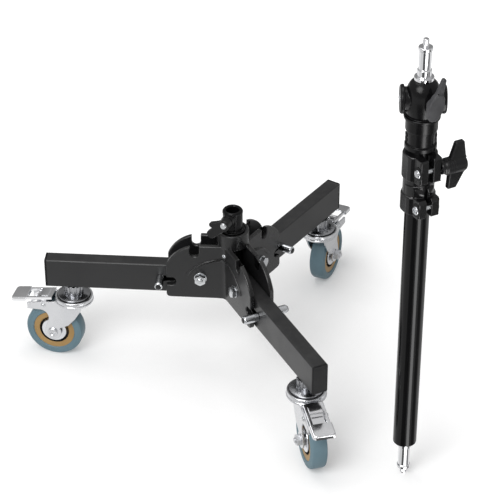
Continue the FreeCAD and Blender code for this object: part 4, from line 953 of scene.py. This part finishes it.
@dataclass
class Studio:
    """The pale floor, the soft lamps, the surroundings and the camera."""

    floor_half: float = 6.0
    floor_tiles: int = 12
    paper: tuple[float, ...] = (0.76, 0.76, 0.76, 1.0)
    glow: float = 0.37
    far_glow: tuple[float, ...] = (0.35, 0.8, 0.0, 0.3)    # two distances and what they add
    room_light: tuple[float, ...] = (-0.1, 0.9, 0.42, 0.6)    # two heights of the view and the light there
    back_start: tuple[float, float] = (0.45, 0.9)    # from where to where the room's back begins
    back_dimming: tuple[float, ...] = (0.85, 0.65, 0.0, 0.24)    # two heights and how much darker it is there
    # How far, how steeply and down to what least share ambient occlusion dims the floor's glow: a painted
    # soft shadow.
    shade_reach: float = 0.3
    shade_depth: float = 3.4
    shade_least: float = 0.5
    column_foot: tuple[float, float, float] = (0.207, -0.2299, 0.0)
    # Bands painted into the floor's reflections: the dark ones paint shade and the bright one paints a
    # highlight on glossy parts, most of all on the column.
    bands: tuple[tuple[float, float, float], ...] = (    # each painted reflection band's direction, half width and brightness
        (248.0, 19.0, 0.1), (292.0, 12.0, 7.5), (342.0, 18.0, 0.22), (75.0, 38.0, 0.55), (198.0, 24.0, 0.75))
    band_reach: float = 1.35
    band_blur: float = 0.25    # as a share of the half width
    reflected: float = 0.95
    lens: float = 145.75
    sensor: float = 36.0
    target: tuple[float, float, float] = (0.02158, 0.0, 0.16976)
    distance: float = 2.55266
    elevation: float = 33.66
    clip: tuple[float, float] = (0.05, 60.0)
    lamps: tuple[tuple[str, tuple[float, float, float], float, float], ...] = (
        ("key", (-0.9, -1.7, 1.9), 1.7, 44.0), ("top", (-0.4, 0.3, 2.5), 1.8, 14.0))
    lamp_aim: tuple[float, float, float] = (0.05, -0.05, 0.15)

    def build(self) -> None:
        """Set the scene around the object."""
        bpy.context.scene.view_settings.view_transform = "Standard"
        self.surroundings()
        self.floor()
        for lamp in self.lamps:
            self.lamp(*lamp)
        self.camera()

    def surroundings(self) -> None:
        """Light the object from a plain pale room, white where the camera looks past it."""
        world = bpy.data.worlds.new("pale_room")
        bpy.context.scene.world = world
        world.use_nodes = True
        graph = Graph(world.node_tree)
        graph.tree.nodes.clear()
        way = graph.add("SeparateXYZ", {0: graph.add("TexCoord").outputs["Generated"]}).outputs
        behind = graph.math("MULTIPLY", graph.between(way["Y"], *self.back_start),
                            graph.between(way["Z"], *self.back_dimming))
        level = graph.math("SUBTRACT", graph.between(way["Z"], *self.room_light), behind)
        room, white = (graph.add("Background", {"Color": WHITE, "Strength": strength})
                       for strength in (level, 1.0))
        seen = graph.add("LightPath").outputs["Is Camera Ray"]
        graph.add("OutputWorld", {"Surface": graph.add("MixShader", {0: seen, 1: room, 2: white})})

    def floor(self) -> None:
        """Lay the floor: white to the camera with the object's shadow kept and deepened by painted shade,
        with painted bands in reflections.
        """
        shape = Shape()
        half, count = self.floor_half, self.floor_tiles
        marks = [half * (2 * k / count - 1) for k in range(count + 1)]
        shape.grid([[Vector((x, y, 0)) for x in marks] for y in marks], wrap=False)
        sheet = shape.make("studio_floor")
        material = bpy.data.materials.new("studio_paper")
        material.use_nodes = True
        graph = Graph(material.node_tree)
        graph.tree.nodes.clear()
        paper = graph.add("BsdfDiffuse", {"Color": self.paper})
        # Ambient occlusion dims the glow near the object: a painted soft shadow on top of the lamps' real
        # one. The glow also grows far from the object, so the floor stays white where the lamps' light falls
        # off.
        open_sky = graph.add("AmbientOcclusion", {"Distance": self.shade_reach}).outputs["AO"]
        shade = graph.math("MAXIMUM", graph.math("POWER", open_sky, self.shade_depth), self.shade_least)
        far = graph.between(graph.length(graph.add("NewGeometry").outputs["Position"]), *self.far_glow)
        level = graph.math("ADD", graph.math("MULTIPLY", shade, self.glow), far)
        glow, banded = (graph.add("Emission", {"Color": WHITE, "Strength": strength})
                        for strength in (level, self.reflections(graph)))
        lit = graph.add("AddShader", {0: paper, 1: glow})
        # Camera rays see the paper and its glow, glossy rays the painted reflection bands, other rays the
        # plain paper.
        rays = graph.add("LightPath").outputs
        seen = graph.math("MAXIMUM", rays["Is Camera Ray"], rays["Is Transmission Ray"])
        plain = graph.add("MixShader", {0: seen, 1: paper, 2: lit})
        graph.add("OutputMaterial", {"Surface": graph.add("MixShader", {0: rays["Is Glossy Ray"], 1: plain,
                                                                        2: banded})})
        sheet.data.materials.append(material)
        sheet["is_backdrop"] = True

    def reflections(self, graph: Graph) -> bpy.types.NodeSocket:
        """Paint what reflections see of the floor: pale, with painted dark bands and a glowing band from the
        column's foot that paints highlights.

        Args:
            graph: The floor material's graph.

        Returns:
            The brightness in reflections.
        """
        away = graph.add("VectorMath", {0: graph.add("NewGeometry").outputs["Position"], 1: self.column_foot},
                         operation="SUBTRACT")
        inside = graph.between(graph.length(away), self.band_reach * 0.9, self.band_reach, 1.0, 0.0)
        way = graph.add("VectorMath", {0: away}, operation="NORMALIZE")
        level = graph.add("Value").outputs[0]
        level.default_value = self.reflected
        for middle, half, bright in self.bands:
            soft = math.radians(half)
            ends = (math.cos(soft * (1 + way_out * self.band_blur)) for way_out in (1, -1))
            share = graph.between(graph.dot(way, polar(1, math.radians(middle))), *ends)
            change = graph.math("MULTIPLY", graph.math("MULTIPLY", share, inside),
                                graph.math("SUBTRACT", bright, level))
            level = graph.math("ADD", level, change)
        return level

    def lamp(self, name: str, spot: Sequence[float], size: float, power: float) -> None:
        """Hang one soft lamp that looks at the object.

        Args:
            name: The lamp's name.
            spot: Where it hangs.
            size: Its width.
            power: Its power in watts.
        """
        light = bpy.data.lights.new(name, "AREA")
        light.shape, light.size, light.energy = "DISK", size, power
        lamp = bpy.data.objects.new(name, light)
        lamp.location = spot
        lamp.rotation_euler = (Vector(self.lamp_aim) - Vector(spot)).to_track_quat("-Z", "Y").to_euler()
        lamp.visible_camera = False
        bpy.context.scene.collection.objects.link(lamp)

    def camera(self) -> None:
        """Stand the camera where the photograph was taken."""
        data = bpy.data.cameras.new("photo_camera")
        data.lens, data.sensor_width = self.lens, self.sensor
        data.clip_start, data.clip_end = self.clip
        camera = bpy.data.objects.new("photo_camera", data)
        tilt = math.radians(self.elevation)
        camera.location = Vector(self.target) + Vector((0, -math.cos(tilt), math.sin(tilt))) * self.distance
        camera.rotation_euler = (math.pi / 2 - tilt, 0, 0)
        bpy.context.scene.collection.objects.link(camera)
        bpy.context.scene.camera = camera


def corners() -> list[list[float]]:
    """Return the shown object's lowest and highest corner as plain numbers."""
    return [list(corner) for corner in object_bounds()]


def main() -> None:
    """Build the studio and every sub-assembly in order."""
    logging.basicConfig(level=logging.INFO, format="%(name)s: %(message)s")
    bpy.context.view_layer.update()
    shop = Workshop()
    Studio().build()
    Hub(shop).build()
    for number in LEGS:
        Leg(shop, number).build()
        Caster(shop, number).build()
    Column(shop).build()


if __name__ == "__main__":
    main()
